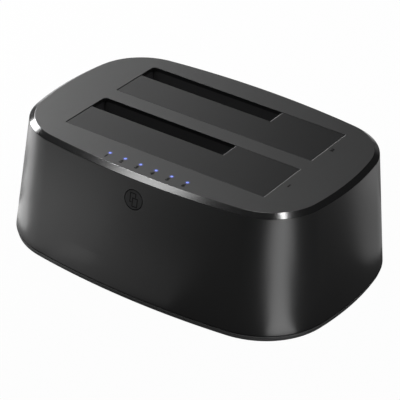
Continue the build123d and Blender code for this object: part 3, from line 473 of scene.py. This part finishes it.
# Ports
# A moulded power inlet with its nickel pin, a nickel-plated data socket with two blue tongues,
# and a rocker switch in a snap-in bezel, all soldered to the main board's back edge.
port_black = moulded("port_black", (0.018, 0.018, 0.019), 0.42, grain=0.3 * mm)
finish(port_black, "power_inlet", "switch_frame")
nickel = metal("nickel", (0.62, 0.6, 0.56), 0.22, 0.5 * mm)
finish(nickel, "data_socket_shell", "power_inlet_pin")
tongue_blue = moulded("tongue_blue", (0.03, 0.12, 0.5), 0.4, drift=0.04)
finish(tongue_blue, "data_socket_tongues")
rocker_black = moulded("rocker_black", (0.02, 0.02, 0.021), 0.3, grain=0.5 * mm, depth=0.004 * mm)
finish(rocker_black, "power_rocker")
mark_white = moulded("mark_white", (0.72, 0.72, 0.7), 0.55, grain=0.15 * mm, depth=0.01 * mm, drift=0.05)
mark_black = moulded(
    "mark_black", (0.004, 0.004, 0.004), 0.7, grain=0.15 * mm, depth=0.01 * mm, drift=0.1, specular=0.1
)


def lettered(name, words, paint, body, slot):
    """Flat print: signs, each as (text, height, matrix of its place), joined into one piece."""
    bm = bmesh.new()
    for text, height, place in words:
        curve = bpy.data.curves.new(name, "FONT")
        curve.body = text
        curve.size = 1.4 * height
        curve.align_x = "CENTER"
        curve.align_y = "CENTER"
        curve.extrude = print_height / 2
        curve.offset = 0.1 * height
        curve.resolution_u = 4
        holder = bpy.data.objects.new(name, curve)
        mesh = bpy.data.meshes.new_from_object(holder)
        mesh.transform(place)
        bm.from_mesh(mesh)
        bpy.data.objects.remove(holder)
        bpy.data.meshes.remove(mesh)
        bpy.data.curves.remove(curve)
    bmesh.ops.remove_doubles(bm, verts=bm.verts, dist=0.002 * mm)
    made = piece(name, bm)
    dress(made, paint, body, slot)
    return made


joints = {joint["name"]: joint for joint in frame["joints"]}
rocker_axis = Vector(joints["power_rocker_tilt"]["pos_m"])
rocker_dip = 2.0 * mm
rocker_half_height = 5.0 * mm
rocker_lean = math.radians(11)
sign_height = 2.2 * mm
facing_back = Matrix.Rotation(math.pi, 4, "Z") @ Matrix.Rotation(math.pi / 2, 4, "X")
signs = []
for text, side in (("I", 1), ("O", -1)):
    out = rocker_dip + rocker_half_height / 2 * math.tan(rocker_lean) + print_height / 2
    on_face = Matrix.Translation((0, out, side * rocker_half_height / 2))
    on_face = on_face @ Matrix.Rotation(-side * rocker_lean, 4, "X") @ facing_back
    place = Matrix.Translation(rocker_axis) @ Matrix.Rotation(rocker_lean, 4, "X") @ on_face
    signs.append((text, sign_height, place))
lettered("rocker_signs", signs, mark_white, "power_rocker", "lamp_white")


# Drive wells
# Two deep moulded boxes under the bays, screwed up to the top, each with a drive connector at
# its bottom: glass-filled plastic with rows of gold-plated blades.
well_black = moulded("well_black", (0.08, 0.08, 0.083), 0.5, grain=0.5 * mm)
finish(well_black, "front_drive_well", "rear_drive_well")
connector_black = moulded(
    "connector_black", (0.02, 0.02, 0.02), 0.5, grain=0.12 * mm, depth=0.02 * mm, drift=0.2
)
finish(connector_black, "front_drive_connector", "rear_drive_connector")
gold = metal("gold_plating", (0.85, 0.62, 0.28), 0.25, 0.2 * mm)
finish(gold, "front_connector_contacts", "rear_connector_contacts")


# Casing
# The side wall is one moulded ring of black satin plastic, 2.4 mm thick and drafted, with a
# sunk flat panel for the ports at the back. It drops over the base and carries the top.
wall_rings = 8
foot_round_shares = ((1, 0), (0.5, 0.07), (0.07, 0.5))
head_round_shares = ((0.15, 0.4), (0.5, 0))
straight = rim_z - shell_bottom - 2 * edge_round
wall_heights = [shell_bottom + edge_round + straight * i / wall_rings for i in range(wall_rings + 1)]
foot_grow = wall_grow(shell_bottom)
head_grow = wall_grow(rim_z)
profile = [(foot_grow - edge_round * a, shell_bottom + edge_round * b) for a, b in foot_round_shares]
profile += [(wall_grow(z), z) for z in wall_heights]
profile += [(head_grow - edge_round * a, rim_z - edge_round * b) for a, b in head_round_shares]
profile += [(head_grow - shell_wall, rim_z), (foot_grow - shell_wall, shell_bottom)]
bm = bmesh.new()
skin(bm, profile, close=True)
casing = piece("casing_shell", bm)

panel_half_length = 41 * mm
panel_low = seam_z + 5.7 * mm
panel_high = seam_z + 22.4 * mm
panel_wall = 1.8 * mm
panel_sink = 0.8 * mm
panel_y = wall_y(panel_half_length, panel_high) - panel_sink
bm = bmesh.new()
block(
    bm, -panel_half_length - panel_wall, panel_half_length + panel_wall, panel_y - panel_wall, base_high.y,
    panel_low - panel_wall, panel_high + panel_wall,
)
tray = piece("tray", bm)
bm = bmesh.new()
cap(bm, *skin(bm, [(wall_grow(z) - shell_wall / 2, z) for z in (shell_bottom, rim_z)]))
combine(tray, piece("within", bm), "INTERSECT")
combine(casing, tray, "UNION")
bm = bmesh.new()
block(bm, -panel_half_length, panel_half_length, panel_y, base_high.y * 1.2, panel_low, panel_high)
combine(casing, piece("recess", bm))

inlet_low, inlet_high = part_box("power_inlet")
socket_low, socket_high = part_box("data_socket_shell")
frame_low, frame_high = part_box("switch_frame")
inlet_nose = 4.1 * mm
inlet_z = inlet_low.z + 6 * mm
inlet_x = (inlet_low.x + inlet_high.x) / 2
switch_x = (frame_low.x + frame_high.x) / 2
switch_z = (frame_low.z + frame_high.z) / 2
socket_x = (socket_low.x + socket_high.x) / 2
socket_outline = ((6.0, 0), (6.0, 6.4), (4.4, 8.0), (4.4, 12.0))
hole_reach = 3 * mm
port_play = 0.1 * mm
switch_reach_x = 9.4 * mm + port_play
switch_reach_z = 6.4 * mm + port_play
bm = bmesh.new()
rod(bm, (inlet_x, panel_y, inlet_z), "Y", 2 * hole_reach, inlet_nose + port_play)
block(
    bm, switch_x - switch_reach_x, switch_x + switch_reach_x, panel_y - hole_reach, panel_y + hole_reach,
    switch_z - switch_reach_z, switch_z + switch_reach_z,
)
places = []
for x, z in socket_outline:
    places.append((x * mm + port_play, socket_low.z + z * mm + (port_play if z else -port_play)))
places += [(-x, z) for x, z in reversed(places)]
outline = [bm.verts.new((socket_x + x, panel_y - hole_reach, z)) for x, z in places]
push(bm, bm.faces.new(outline), (0, 2 * hole_reach, 0))
combine(casing, piece("port_holes", bm))

button_low, button_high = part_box("front_button")
button_z = (button_low.z + button_high.z) / 2
button_radius = 4.5 * mm
button_gap = 0.3 * mm
button_bore = 12 * mm
bm = bmesh.new()
rod(bm, (0, button_low.y, button_z), "Y", button_bore, button_radius + button_gap, segments=96)
combine(casing, piece("button_hole", bm))


def soften_corners(made, chosen, amount):
    """Round those sharp edges of a finished piece that pass a test."""
    bm = bmesh.new()
    bm.from_mesh(made.data)
    sharp = [e for e in bm.edges if len(e.link_faces) == 2 and e.calc_face_angle() > math.radians(40)]
    soften(bm, [e for e in sharp if chosen(e)], amount, 2)
    bm.to_mesh(made.data)
    bm.free()


def at_opening(edge):
    """Whether an edge is on the outer wall, round the ports' panel or the button."""
    places = [v.co for v in edge.verts]
    on_wall = all(abs(abs(p.y) - wall_y(p.x, p.z)) < 0.02 * mm for p in places)
    within = all(2 * shell_bottom < p.z < rim_z - 2 * mm for p in places)
    return on_wall and within and all(abs(p.x) < 1.02 * panel_half_length for p in places)


opening_round = 0.25 * mm
soften_corners(casing, at_opening, opening_round)
smooth(casing, 28)
satin_casing = moulded(
    "satin_casing", (0.008, 0.0081, 0.0084), 0.32, grain=0.3 * mm, depth=0.004 * mm, specular=0.8
)
dress(casing, satin_casing, "housing", "casing_plastic", "casing")


# Top cover
# A flat matt plate with two bay mouths. Its rim is a polished chamfer, 2.5 mm out and 1.7 mm
# down, which rests on the casing's edge, and ears under the mouths' front edges hold the rods.
cover_wall = 2 * mm
cover_under = top_z - cover_wall
lip_bottom = cover_under - 1.6 * mm
rim_round = 0.28 * mm
chamfer_steps = 4
round_steps = 3
spigot = wall_grow(rim_z) - shell_wall - lip_play
bay_depth = 29.65 * mm
flap_low, flap_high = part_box("front_flap")
touch_gap = 0.3 * mm
flap_left_gap = 0.5 * mm
bay_left = flap_low.x - flap_left_gap
bay_right = flap_high.x + touch_gap
bay_front = {bay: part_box(f"{bay}_flap")[1].y + touch_gap - bay_depth for bay in ("front", "rear")}
hinges = {bay: Vector(joints[f"{bay}_flap_hinge"]["pos_m"]) for bay in bay_front}

rim_drop = top_z - rim_z
slope = math.atan2(rim_drop, rim_out)
profile = [
    (spigot - lip_wall, cover_under), (spigot - lip_wall, lip_bottom), (spigot, lip_bottom), (spigot, rim_z),
    (rim_out - edge_round * 0.5, rim_z), (rim_out - edge_round * 0.12, rim_z + edge_round * 0.08),
]
for i in range(1, chamfer_steps):
    profile.append((rim_out * (1 - i / chamfer_steps), rim_z + rim_drop * i / chamfer_steps))
run = rim_round * math.tan(slope / 2)
for i in range(round_steps + 1):
    turn = slope * (1 - i / round_steps)
    profile.append((rim_round * math.sin(turn) - run, top_z - rim_round * (1 - math.cos(turn))))
bm = bmesh.new()
rings = skin(bm, profile)
cap(bm, rings[0], rings[-1])
cover = piece("top_plate", bm)
mouth_corner = 2 * mm
for front in bay_front.values():
    bm = bmesh.new()
    block(bm, bay_left, bay_right, front, front + bay_depth, lip_bottom - mm, top_z + mm)
    back_left = [e for e in upright_edges(bm) if e.verts[0].co.x < 0 and e.verts[0].co.y > front + mm]
    soften(bm, back_left, mouth_corner, 8)
    combine(cover, piece("mouth", bm))
lamp_count = 6
lamp_pitch = 8.15 * mm
guide_low, guide_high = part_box("light_guide")
lamp_y = (guide_low.y + guide_high.y) / 2
lamp_xs = [(i - (lamp_count - 1) / 2) * lamp_pitch for i in range(lamp_count)]
lamp_hole_radius = 0.6 * mm
glow_colour = (0.13, 0.2, 1.0)
bm = bmesh.new()
for x in lamp_xs:
    rod(bm, (x, lamp_y, top_z - mm), "Z", 4 * mm, lamp_hole_radius, 24)
combine(cover, piece("lamp_holes", bm))
mouth_round = 0.1 * mm


def at_mouth(edge):
    """Whether an edge is at the top of a bay's mouth, but not at its right end."""
    places = [v.co for v in edge.verts]
    front = bay_front["front"] - mm
    back = bay_front["rear"] + bay_depth + mm
    on_top = all(abs(p.z - top_z) < 1e-6 for p in places)
    over_bays = all(bay_left - mm < p.x < bay_right + mm and front < p.y < back for p in places)
    return on_top and over_bays and not all(p.x > bay_right - 0.1 * mm for p in places)


soften_corners(cover, at_mouth, mouth_round)
ear_width = 3 * mm
ear_radius = 2.1 * mm
inner_ear = 6.2 * mm
outer_ear = bay_right - 2.5 * mm - ear_width
ear_starts = (-outer_ear - ear_width, -inner_ear - ear_width, inner_ear, outer_ear)
ears = [(start, start + ear_width) for start in ear_starts]
glint = 0.13 * mm
glint_drop = glint * math.tan(math.radians(15))
glint_margin = 0.12 * mm


def shave(made, x, y0, y1):
    """Take a narrow shallow slope off a top edge that faces left."""
    bm = bmesh.new()
    wedge = ((x - glint, -2 * glint_drop), (x + 2 * glint, glint_drop), (x - glint, glint_drop))
    push(bm, bm.faces.new([bm.verts.new((x, y0, top_z + z)) for x, z in wedge]), (0, y1 - y0, 0))
    combine(made, piece("shaving", bm))


def arc(axis, radius, start, end, steps):
    """Places (y, z) along an arc about a rod, between two angles from the back upwards."""
    turns = [start + (end - start) * i / steps for i in range(steps + 1)]
    return [(axis.y + radius * math.cos(turn), axis.z + radius * math.sin(turn)) for turn in turns]


def bracket(made, outline, x0, x1):
    """Join a solid to a plate, pushed along X from its outline of (y, z) places."""
    bm = bmesh.new()
    push(bm, bm.faces.new([bm.verts.new((x0, y, z)) for y, z in outline]), (x1 - x0, 0, 0))
    combine(made, piece("bracket", bm), "UNION")


in_plate = cover_under + cover_wall / 2
for bay, front in bay_front.items():
    shave(cover, bay_right, front + glint_margin, front + bay_depth - glint_margin)
    axis = hinges[bay]
    outline = arc(axis, ear_radius, -math.pi, math.acos((front - axis.y) / ear_radius), 24)
    outline += [(front, in_plate), (axis.y - ear_radius, in_plate)]
    for x0, x1 in ears:
        bracket(cover, outline, x0, x1)
smooth(cover, 12)
matt_cover = moulded("matt_cover", (0.011, 0.0111, 0.0113), 0.5, grain=0.4 * mm, specular=0.75)
polished = moulded(
    "polished_rim", (0.008, 0.0081, 0.0084), 0.14, grain=0.8 * mm, depth=0.002 * mm, drift=0.03, specular=1.0
)
# A painted glow: the cover's own plastic emits faint blue light in a ring round each lamp hole, though it is
# no lamp.
tree = matt_cover.node_tree
shader = tree.nodes["Principled BSDF"]
split = node(tree, "SeparateXYZ", Vector=node(tree, "TexCoord").outputs["Object"]).outputs
along = arithmetic(tree, "PINGPONG", split["X"], lamp_pitch / 2)
offset = arithmetic(tree, "SUBTRACT", along, lamp_pitch / 2)
aside = arithmetic(tree, "SUBTRACT", split["Y"], lamp_y)
apart = node(tree, "CombineXYZ", X=offset, Y=aside).outputs[0]
far = node(tree, "VectorMath", {"operation": "LENGTH"}, i0=apart).outputs["Value"]
painted_glow_ring = node(
    tree, "MapRange", {"interpolation_type": "SMOOTHERSTEP"}, Value=far, From_Min=1.6 * mm, From_Max=0.5 * mm
).outputs["Result"]
from_middle = arithmetic(tree, "ABSOLUTE", split["X"])
in_row = arithmetic(tree, "LESS_THAN", from_middle, lamp_count * lamp_pitch / 2)
painted_glow_strength = arithmetic(tree, "MULTIPLY", arithmetic(tree, "MULTIPLY", painted_glow_ring, in_row), 0.2)
shader.inputs["Emission Color"].default_value = (*glow_colour, 1)
tree.links.new(painted_glow_strength, shader.inputs["Emission Strength"])
dress(cover, matt_cover, "housing", "cover_plastic", "top_cover")
cover.data.materials.append(polished)


def is_shaved(face):
    """Whether a face is a shaved edge, which looks up and to the left."""
    return 0.9 < face.normal.z < 0.99 and face.normal.x < -0.2


for face in cover.data.polygons:
    middle = face.center
    over_bays = bay_left - mm < middle.x < bay_right + mm and abs(middle.y) < half_width - 6 * mm
    is_rim = 0.3 < face.normal.z < 0.97 and middle.z > rim_z - 0.1 * mm and not over_bays
    if is_rim or is_shaved(face) and abs(middle.x - bay_right - glint / 2) < glint:
        face.material_index = 1


# Hinge rods and springs
# A ground steel rod runs through each mouth's ears, and a coil of spring wire round its middle
# has one leg under the top and one under the flap, which it lifts shut.
bright_steel = metal("bright_steel", (0.62, 0.63, 0.65), 0.2, 0.4 * mm, stretch=(4, 1, 1))
finish(bright_steel, "front_hinge_rod", "rear_hinge_rod")
spring_steel = metal("drawn_steel", (0.45, 0.46, 0.48), 0.3, 0.2 * mm)
wire_radius = 0.25 * mm
coil_radius = 1.2 * mm
coil_pitch = 0.97 * mm
coil_turns = 7
coil_steps = 24 * coil_turns
leg_length = 4.675 * mm
leg_seat = 1.85 * mm
lift = math.atan2(leg_seat - coil_radius, leg_length)
start = math.pi / 2 - lift
sweep = 2 * math.pi * coil_turns - 2 * lift
rise_rate = coil_pitch / (2 * math.pi)
half_coil = coil_pitch * coil_turns / 2


def wire_heading(turn):
    """The way the wire runs where the coil has come to an angle about the rod."""
    way = Vector((rise_rate, coil_radius * math.sin(turn), -coil_radius * math.cos(turn)))
    return way.normalized()


for bay, axis in hinges.items():
    middle = Vector((-half_coil, axis.y, axis.z))
    place = middle + Vector((0, math.cos(start), math.sin(start))) * coil_radius
    heading = wire_heading(start)
    bm = bmesh.new()
    turn = heading.to_track_quat("Z", "Y").to_matrix().to_4x4()
    bmesh.ops.create_circle(
        bm, cap_ends=True, segments=12, radius=wire_radius,
        matrix=Matrix.Translation(place - heading * leg_length) @ turn,
    )
    bm.faces.ensure_lookup_table()
    end = push(bm, bm.faces[0], heading * leg_length)
    coil = bmesh.ops.spin(
        bm, geom=[end, *end.edges, *end.verts], cent=middle, axis=(1, 0, 0), angle=-sweep,
        dvec=(rise_rate * sweep / coil_steps, 0, 0), steps=coil_steps, use_merge=False,
    )["geom_last"]
    end = next(f for f in coil if isinstance(f, bmesh.types.BMFace))
    push(bm, end, wire_heading(start - sweep) * leg_length)
    within = [f for f in bm.faces if all(len(e.link_faces) > 2 for e in f.edges)]
    bmesh.ops.delete(bm, geom=within, context="FACES_ONLY")
    spring = piece(f"{bay}_spring_coil", bm)
    smooth(spring, 50)
    spring.data.materials.append(spring_steel)
    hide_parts(f"{bay}_flap_spring")
    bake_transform(spring)


# Flaps
# Two L-shaped lids, 2 mm thick and level with the top. Each turns down into its bay on a rod
# through its goose-neck arms, and leaves a slot for a small drive at its back left.
flap_thickness = 2 * mm
slot_length = 71.9 * mm
slot_depth = 10.75 * mm
knuckle_radius = 1.7 * mm
knuckle_width = 6 * mm
arm_reach = 1.9 * mm
flap_front_gap = 0.1 * mm
flap_right_gap = 0.12 * mm
flap_margin = 0.02 * mm
knuckles = []
for left_ear, right_ear in (ears[:2], ears[2:]):
    knuckles += [left_ear[1] + touch_gap, right_ear[0] - touch_gap - knuckle_width]
matt_flap = moulded("matt_flap", (0.005, 0.0051, 0.0053), 0.43, grain=0.4 * mm, specular=0.38)
for bay, front in bay_front.items():
    near = front + flap_front_gap
    far = front + bay_depth - touch_gap
    left = bay_left + flap_left_gap
    right = bay_right - flap_right_gap
    notch_x = bay_left + slot_length
    notch_y = front + bay_depth - slot_depth
    bm = bmesh.new()
    outline = (
        (left, near), (right, near), (right, far), (notch_x, far), (notch_x, notch_y), (left, notch_y),
    )
    push(bm, bm.faces.new([bm.verts.new((x, y, top_z)) for x, y in outline]), (0, 0, -flap_thickness))
    soft = []
    for edge in bm.edges:
        one, other = (v.co for v in edge.verts)
        on_top = abs(one.z - top_z) < 1e-7 and abs(other.z - top_z) < 1e-7
        faces_left = abs(one.x - other.x) < 1e-7 and one.x < notch_x + 1e-7
        if on_top and not faces_left:
            soft.append(edge)
    soften(bm, soft, mouth_round, 2)
    flap = piece(f"{bay}_flap_lid", bm)
    shave(flap, notch_x, notch_y + flap_margin, far - glint_margin)
    axis = hinges[bay]
    arm_top = cover_under - touch_gap
    in_lid = top_z - flap_thickness / 2
    outline = arc(axis, knuckle_radius, math.pi / 2, 1.5 * math.pi, 16)
    outline += [(front + arm_reach, axis.z - knuckle_radius), (front + arm_reach, in_lid)]
    outline += [(near, in_lid), (near, arm_top), (axis.y, arm_top)]
    for x in knuckles:
        bracket(flap, outline, x, x + knuckle_width)
    smooth(flap, 12)
    dress(flap, matt_flap, f"{bay}_flap", "flap_plastic", f"{bay}_flap")
    flap.data.materials.append(polished)
    for face in flap.data.polygons:
        if is_shaved(face):
            face.material_index = 1


# Indicator board and light guide
# A small upright board behind the front wall holds six white lamps, whose light a clear moulded
# guide brings up to six blue points in the top. A flat film cable joins it to the main board.
lamp_body = moulded("lamp_body", (0.7, 0.7, 0.66), 0.35, drift=0.04)
finish(lamp_body, "indicator_lamps")
socket_cream = moulded("socket_cream", (0.55, 0.52, 0.43), 0.45, drift=0.05)
finish(socket_cream, "cable_sockets", "key_switch")
film, tree, shader, place = material("ribbon_film")
strips = node(tree, "TexWave", {"bands_direction": "X"}, Vector=place, Scale=0.5 / mm).outputs["Fac"]
striped = ramp(tree, strips, (0.5, 0.49, 0.45), (0.62, 0.61, 0.58), 0.3, 0.5)
tree.links.new(striped, shader.inputs["Base Color"])
shader.inputs["Roughness"].default_value = 0.35
finish(film, "flat_cable")
guide_paint, tree, shader, place = material("light_guide")
height = node(tree, "SeparateXYZ", Vector=place).outputs["Z"]
tip = node(tree, "MapRange", Value=height, From_Min=top_z - 0.6 * mm, From_Max=top_z - 0.1 * mm)
tip = tip.outputs["Result"]
cloud = ramp(tree, noise(tree, place, 0.5 * mm), (0.55, 0.62, 0.8), (0.7, 0.75, 0.9))
tree.links.new(cloud, shader.inputs["Base Color"])
shader.inputs["Roughness"].default_value = 0.2
shader.inputs["Transmission Weight"].default_value = 0.6
shader.inputs["IOR"].default_value = 1.49
shader.inputs["Emission Color"].default_value = (*glow_colour, 1)
tree.links.new(arithmetic(tree, "MULTIPLY", tip, 0.8), shader.inputs["Emission Strength"])
finish(guide_paint, "light_guide")


# Front button
# A round cap, level with the slanted wall and 9 mm across, in a narrow dark gap. A plain sign of
# two overlapping sheets, for copying, is printed on it.
satin_button = moulded("satin_button", (0.013, 0.0132, 0.0136), 0.42, grain=0.3 * mm, depth=0.004 * mm)
wall_lean = math.atan2(seam_grow - rim_out, rim_z - seam_z)
on_wall = Matrix.Translation((0, -wall_y(0, button_z), button_z))
on_wall = on_wall @ Matrix.Rotation(math.pi / 2 - wall_lean, 4, "X")
cap_round = 0.25 * mm
cap_depth = button_high.y + wall_y(0, button_z)
bm = bmesh.new()
rod(bm, (0, 0, -cap_depth / 2), "Z", cap_depth, button_radius, 96)
soften(bm, [e for e in bm.edges if all(v.co.z > -1e-7 for v in e.verts)], cap_round)
bmesh.ops.transform(bm, verts=bm.verts, matrix=on_wall)
button = piece("front_button_cap", bm)
smooth(button, 30)
dress(button, satin_button, "front_button", "button_plastic", "front_button")
finish(satin_button, "key_plunger")
half_stroke = 0.2 * mm
strokes = (
    (-1.8, -1.8, -1.3, 3.0), (-1.8, 1.0, 3.0, 3.0), (1.0, 1.0, 1.3, 3.0), (-1.8, -1.1, -1.3, -1.3),
    (-0.5, -0.5, -3.2, 0.7), (-0.5, 2.0, 0.7, 0.7), (2.0, 2.0, -3.2, 0.7), (-0.5, 2.0, -3.2, -3.2),
)
sign = []
for x0, x1, y0, y1 in strokes:
    bm = bmesh.new()
    block(bm, x0 * mm - half_stroke, x1 * mm + half_stroke, y0 * mm - half_stroke, y1 * mm + half_stroke,
          -print_height, print_height)
    sign.append(piece("copy_sign", bm))
sheets, *others = sign
for other in others:
    combine(sheets, other, "UNION")
sheets.data.transform(on_wall)
dress(sheets, mark_black, "front_button", "button_plastic")


# Printed marks
# Small plain numbers in black: one in front of each lamp, and one beside each bay.
lamp_number_height = 2.1 * mm
lamp_number_y = lamp_y - 3.1 * mm
bay_numbers = (("1", 56.0, -17.7), ("2", 54.9, 20.2))
print_z = top_z + print_height / 2
signs = []
for i, x in enumerate(lamp_xs):
    signs.append((str(i + 1), lamp_number_height, Matrix.Translation((x, lamp_number_y, print_z))))
for text, x, y in bay_numbers:
    signs.append((text, sign_height, Matrix.Translation((x * mm, y * mm, print_z))))
lettered("top_numbers", signs, mark_black, "housing", "cover_plastic")


# Floor, background and lights
# The floor and the world look white. The floor's own colour holds a painted reflection: it is
# painted pale to the left and behind and dark to the front right, where the walls mirror it as
# painted light and shade. Soft panels light the top and the rim from around, and strips that lie
# on the floor draw the bright bands on the walls.
floor_size = 6
floor_drop = 0.05 * mm
bm = bmesh.new()
bmesh.ops.create_grid(bm, x_segments=1, y_segments=1, size=floor_size)
bmesh.ops.translate(bm, verts=bm.verts, vec=(0, 0, -floor_drop))
floor = piece("floor", bm)
floor_paint, tree, shader, place = material("floor_paint")
split = node(tree, "SeparateXYZ", Vector=place).outputs
# Painted reflection: the floor's colour runs from pale at the left and back to dark at the front right.
right = node(tree, "MapRange", Value=split["X"], From_Min=-0.11, From_Max=0.0).outputs["Result"]
front = node(tree, "MapRange", Value=split["Y"], From_Min=0.15, From_Max=0.1).outputs["Result"]
painted_reflection_fade = arithmetic(tree, "MULTIPLY", right, front)
tree.links.new(ramp(tree, painted_reflection_fade, (0.46, 0.46, 0.46), (0.06, 0.06, 0.06), 0, 1), shader.inputs["Base Color"])
shader.inputs["Roughness"].default_value = 0.9
shader.inputs["Specular IOR Level"].default_value = 0
rays = node(tree, "LightPath").outputs
white = node(tree, "Emission", Color=(1, 1, 1, 1)).outputs[0]
seen = arithmetic(tree, "MULTIPLY", rays["Is Camera Ray"], 0.98)
mirrored = arithmetic(tree, "MAXIMUM", rays["Is Glossy Ray"], rays["Is Transmission Ray"])
mirrored = arithmetic(tree, "MULTIPLY", mirrored, 0.05)
whitened = arithmetic(tree, "MAXIMUM", seen, mirrored)
blend = node(tree, "MixShader", Fac=whitened, i1=shader.outputs[0], i2=white).outputs[0]
tree.links.new(blend, tree.nodes["Material Output"].inputs["Surface"])
floor.data.materials.append(floor_paint)

world = bpy.data.worlds.new("studio")
scene.world = world
world.use_nodes = True
tree = world.node_tree
sky = tree.nodes["Background"]
direction = node(tree, "TexCoord").outputs["Generated"]
rise = node(tree, "SeparateXYZ", Vector=direction).outputs["Z"]
dimming = ramp(tree, rise, (0.2, 0.2, 0.2), (0.03, 0.03, 0.03), 0.08, 0.24)
tree.links.new(dimming, sky.inputs["Color"])
white = node(tree, "Background", Color=(1, 1, 1, 1)).outputs[0]
rays = node(tree, "LightPath").outputs
blend = node(tree, "MixShader", Fac=rays["Is Camera Ray"], i1=sky.outputs[0], i2=white).outputs[0]
tree.links.new(blend, tree.nodes["World Output"].inputs["Surface"])


def lamp(name, matrix, size, power):
    """A rectangular lamp that shines along its own -Z and isn't itself seen."""
    data = bpy.data.lights.new(name, "AREA")
    data.shape = "RECTANGLE"
    data.size, data.size_y = size
    data.energy = power
    made = bpy.data.objects.new(name, data)
    made.matrix_world = matrix
    made.visible_camera = False
    scene.collection.objects.link(made)


dock_middle = Vector((0, 0, 30 * mm))
strip_z = 1.5 * mm


def panel(name, turn, rise, distance, size, power):
    """A soft lamp in a direction from the dock (degrees from the front, and up), facing it."""
    turn, rise = math.radians(turn), math.radians(rise)
    away = Vector((math.sin(turn) * math.cos(rise), -math.cos(turn) * math.cos(rise), math.sin(rise)))
    place = Matrix.Translation(dock_middle + away * distance)
    lamp(name, place @ away.to_track_quat("Z", "Y").to_matrix().to_4x4(), size, power)


def strip(name, corner, turn, start, length, width, power):
    """A light strip that lies on the floor and leads away from a corner of the dock."""
    turn = math.radians(turn)
    away = Vector((math.sin(turn), -math.cos(turn), 0))
    down = Vector((0, 0, -1))
    axes = Matrix((away.cross(down), away, down)).transposed().to_4x4()
    place = Vector((*corner, strip_z)) + away * (start + length / 2)
    lamp(name, Matrix.Translation(place) @ axes, (width, length), power)


panel("back_panel", 221, 16, 1.0, (0.34, 0.24), 0.75)
panel("back_left_panel", 256, 26, 0.42, (0.22, 0.11), 1.05)
panel("top_left_panel", 240, 82, 1.0, (0.3, 0.3), 1.85)
panel("front_top_panel", 0, 54, 1.0, (0.2, 0.2), 0.8)
panel("upper_left_panel", 270, 60, 1.0, (0.11, 0.11), 3.2)
panel("rim_front_panel", 300, 59, 1.0, (0.1, 0.2), 0.41)
panel("rim_corner_panel", 109, 72, 1.0, (0.23, 0.09), 2.0)
panel("low_right_panel", 60, 0, 0.7, (0.09, 0.055), 0.6)
strip("near_left_strip", (-0.052, -0.027), 292, 0.033, 0.031, 0.03, 0.004)
strip("middle_left_strip", (-0.052, -0.027), 282, 0.064, 0.04, 0.04, 0.008)
strip("far_left_strip", (-0.052, -0.027), 271, 0.104, 0.2, 0.08, 0.08)
strip("front_left_strip", (-0.052, -0.027), 330, 0.032, 0.09, 0.08, 0.0075)
strip("front_strip", (-0.01, -0.027), 350, 0.034, 0.06, 0.07, 0.0026)
strip("near_corner_strip", (0.052, -0.027), 55, 0.033, 0.027, 0.02, 0.004)
strip("middle_corner_strip", (0.052, -0.027), 55, 0.06, 0.05, 0.036, 0.012)
strip("far_corner_strip", (0.052, -0.027), 56, 0.11, 0.2, 0.1, 0.137)
strip("right_strip", (0.052, 0.027), 145, 0.034, 0.2, 0.06, 0.014)

scene.view_settings.view_transform = "Standard"
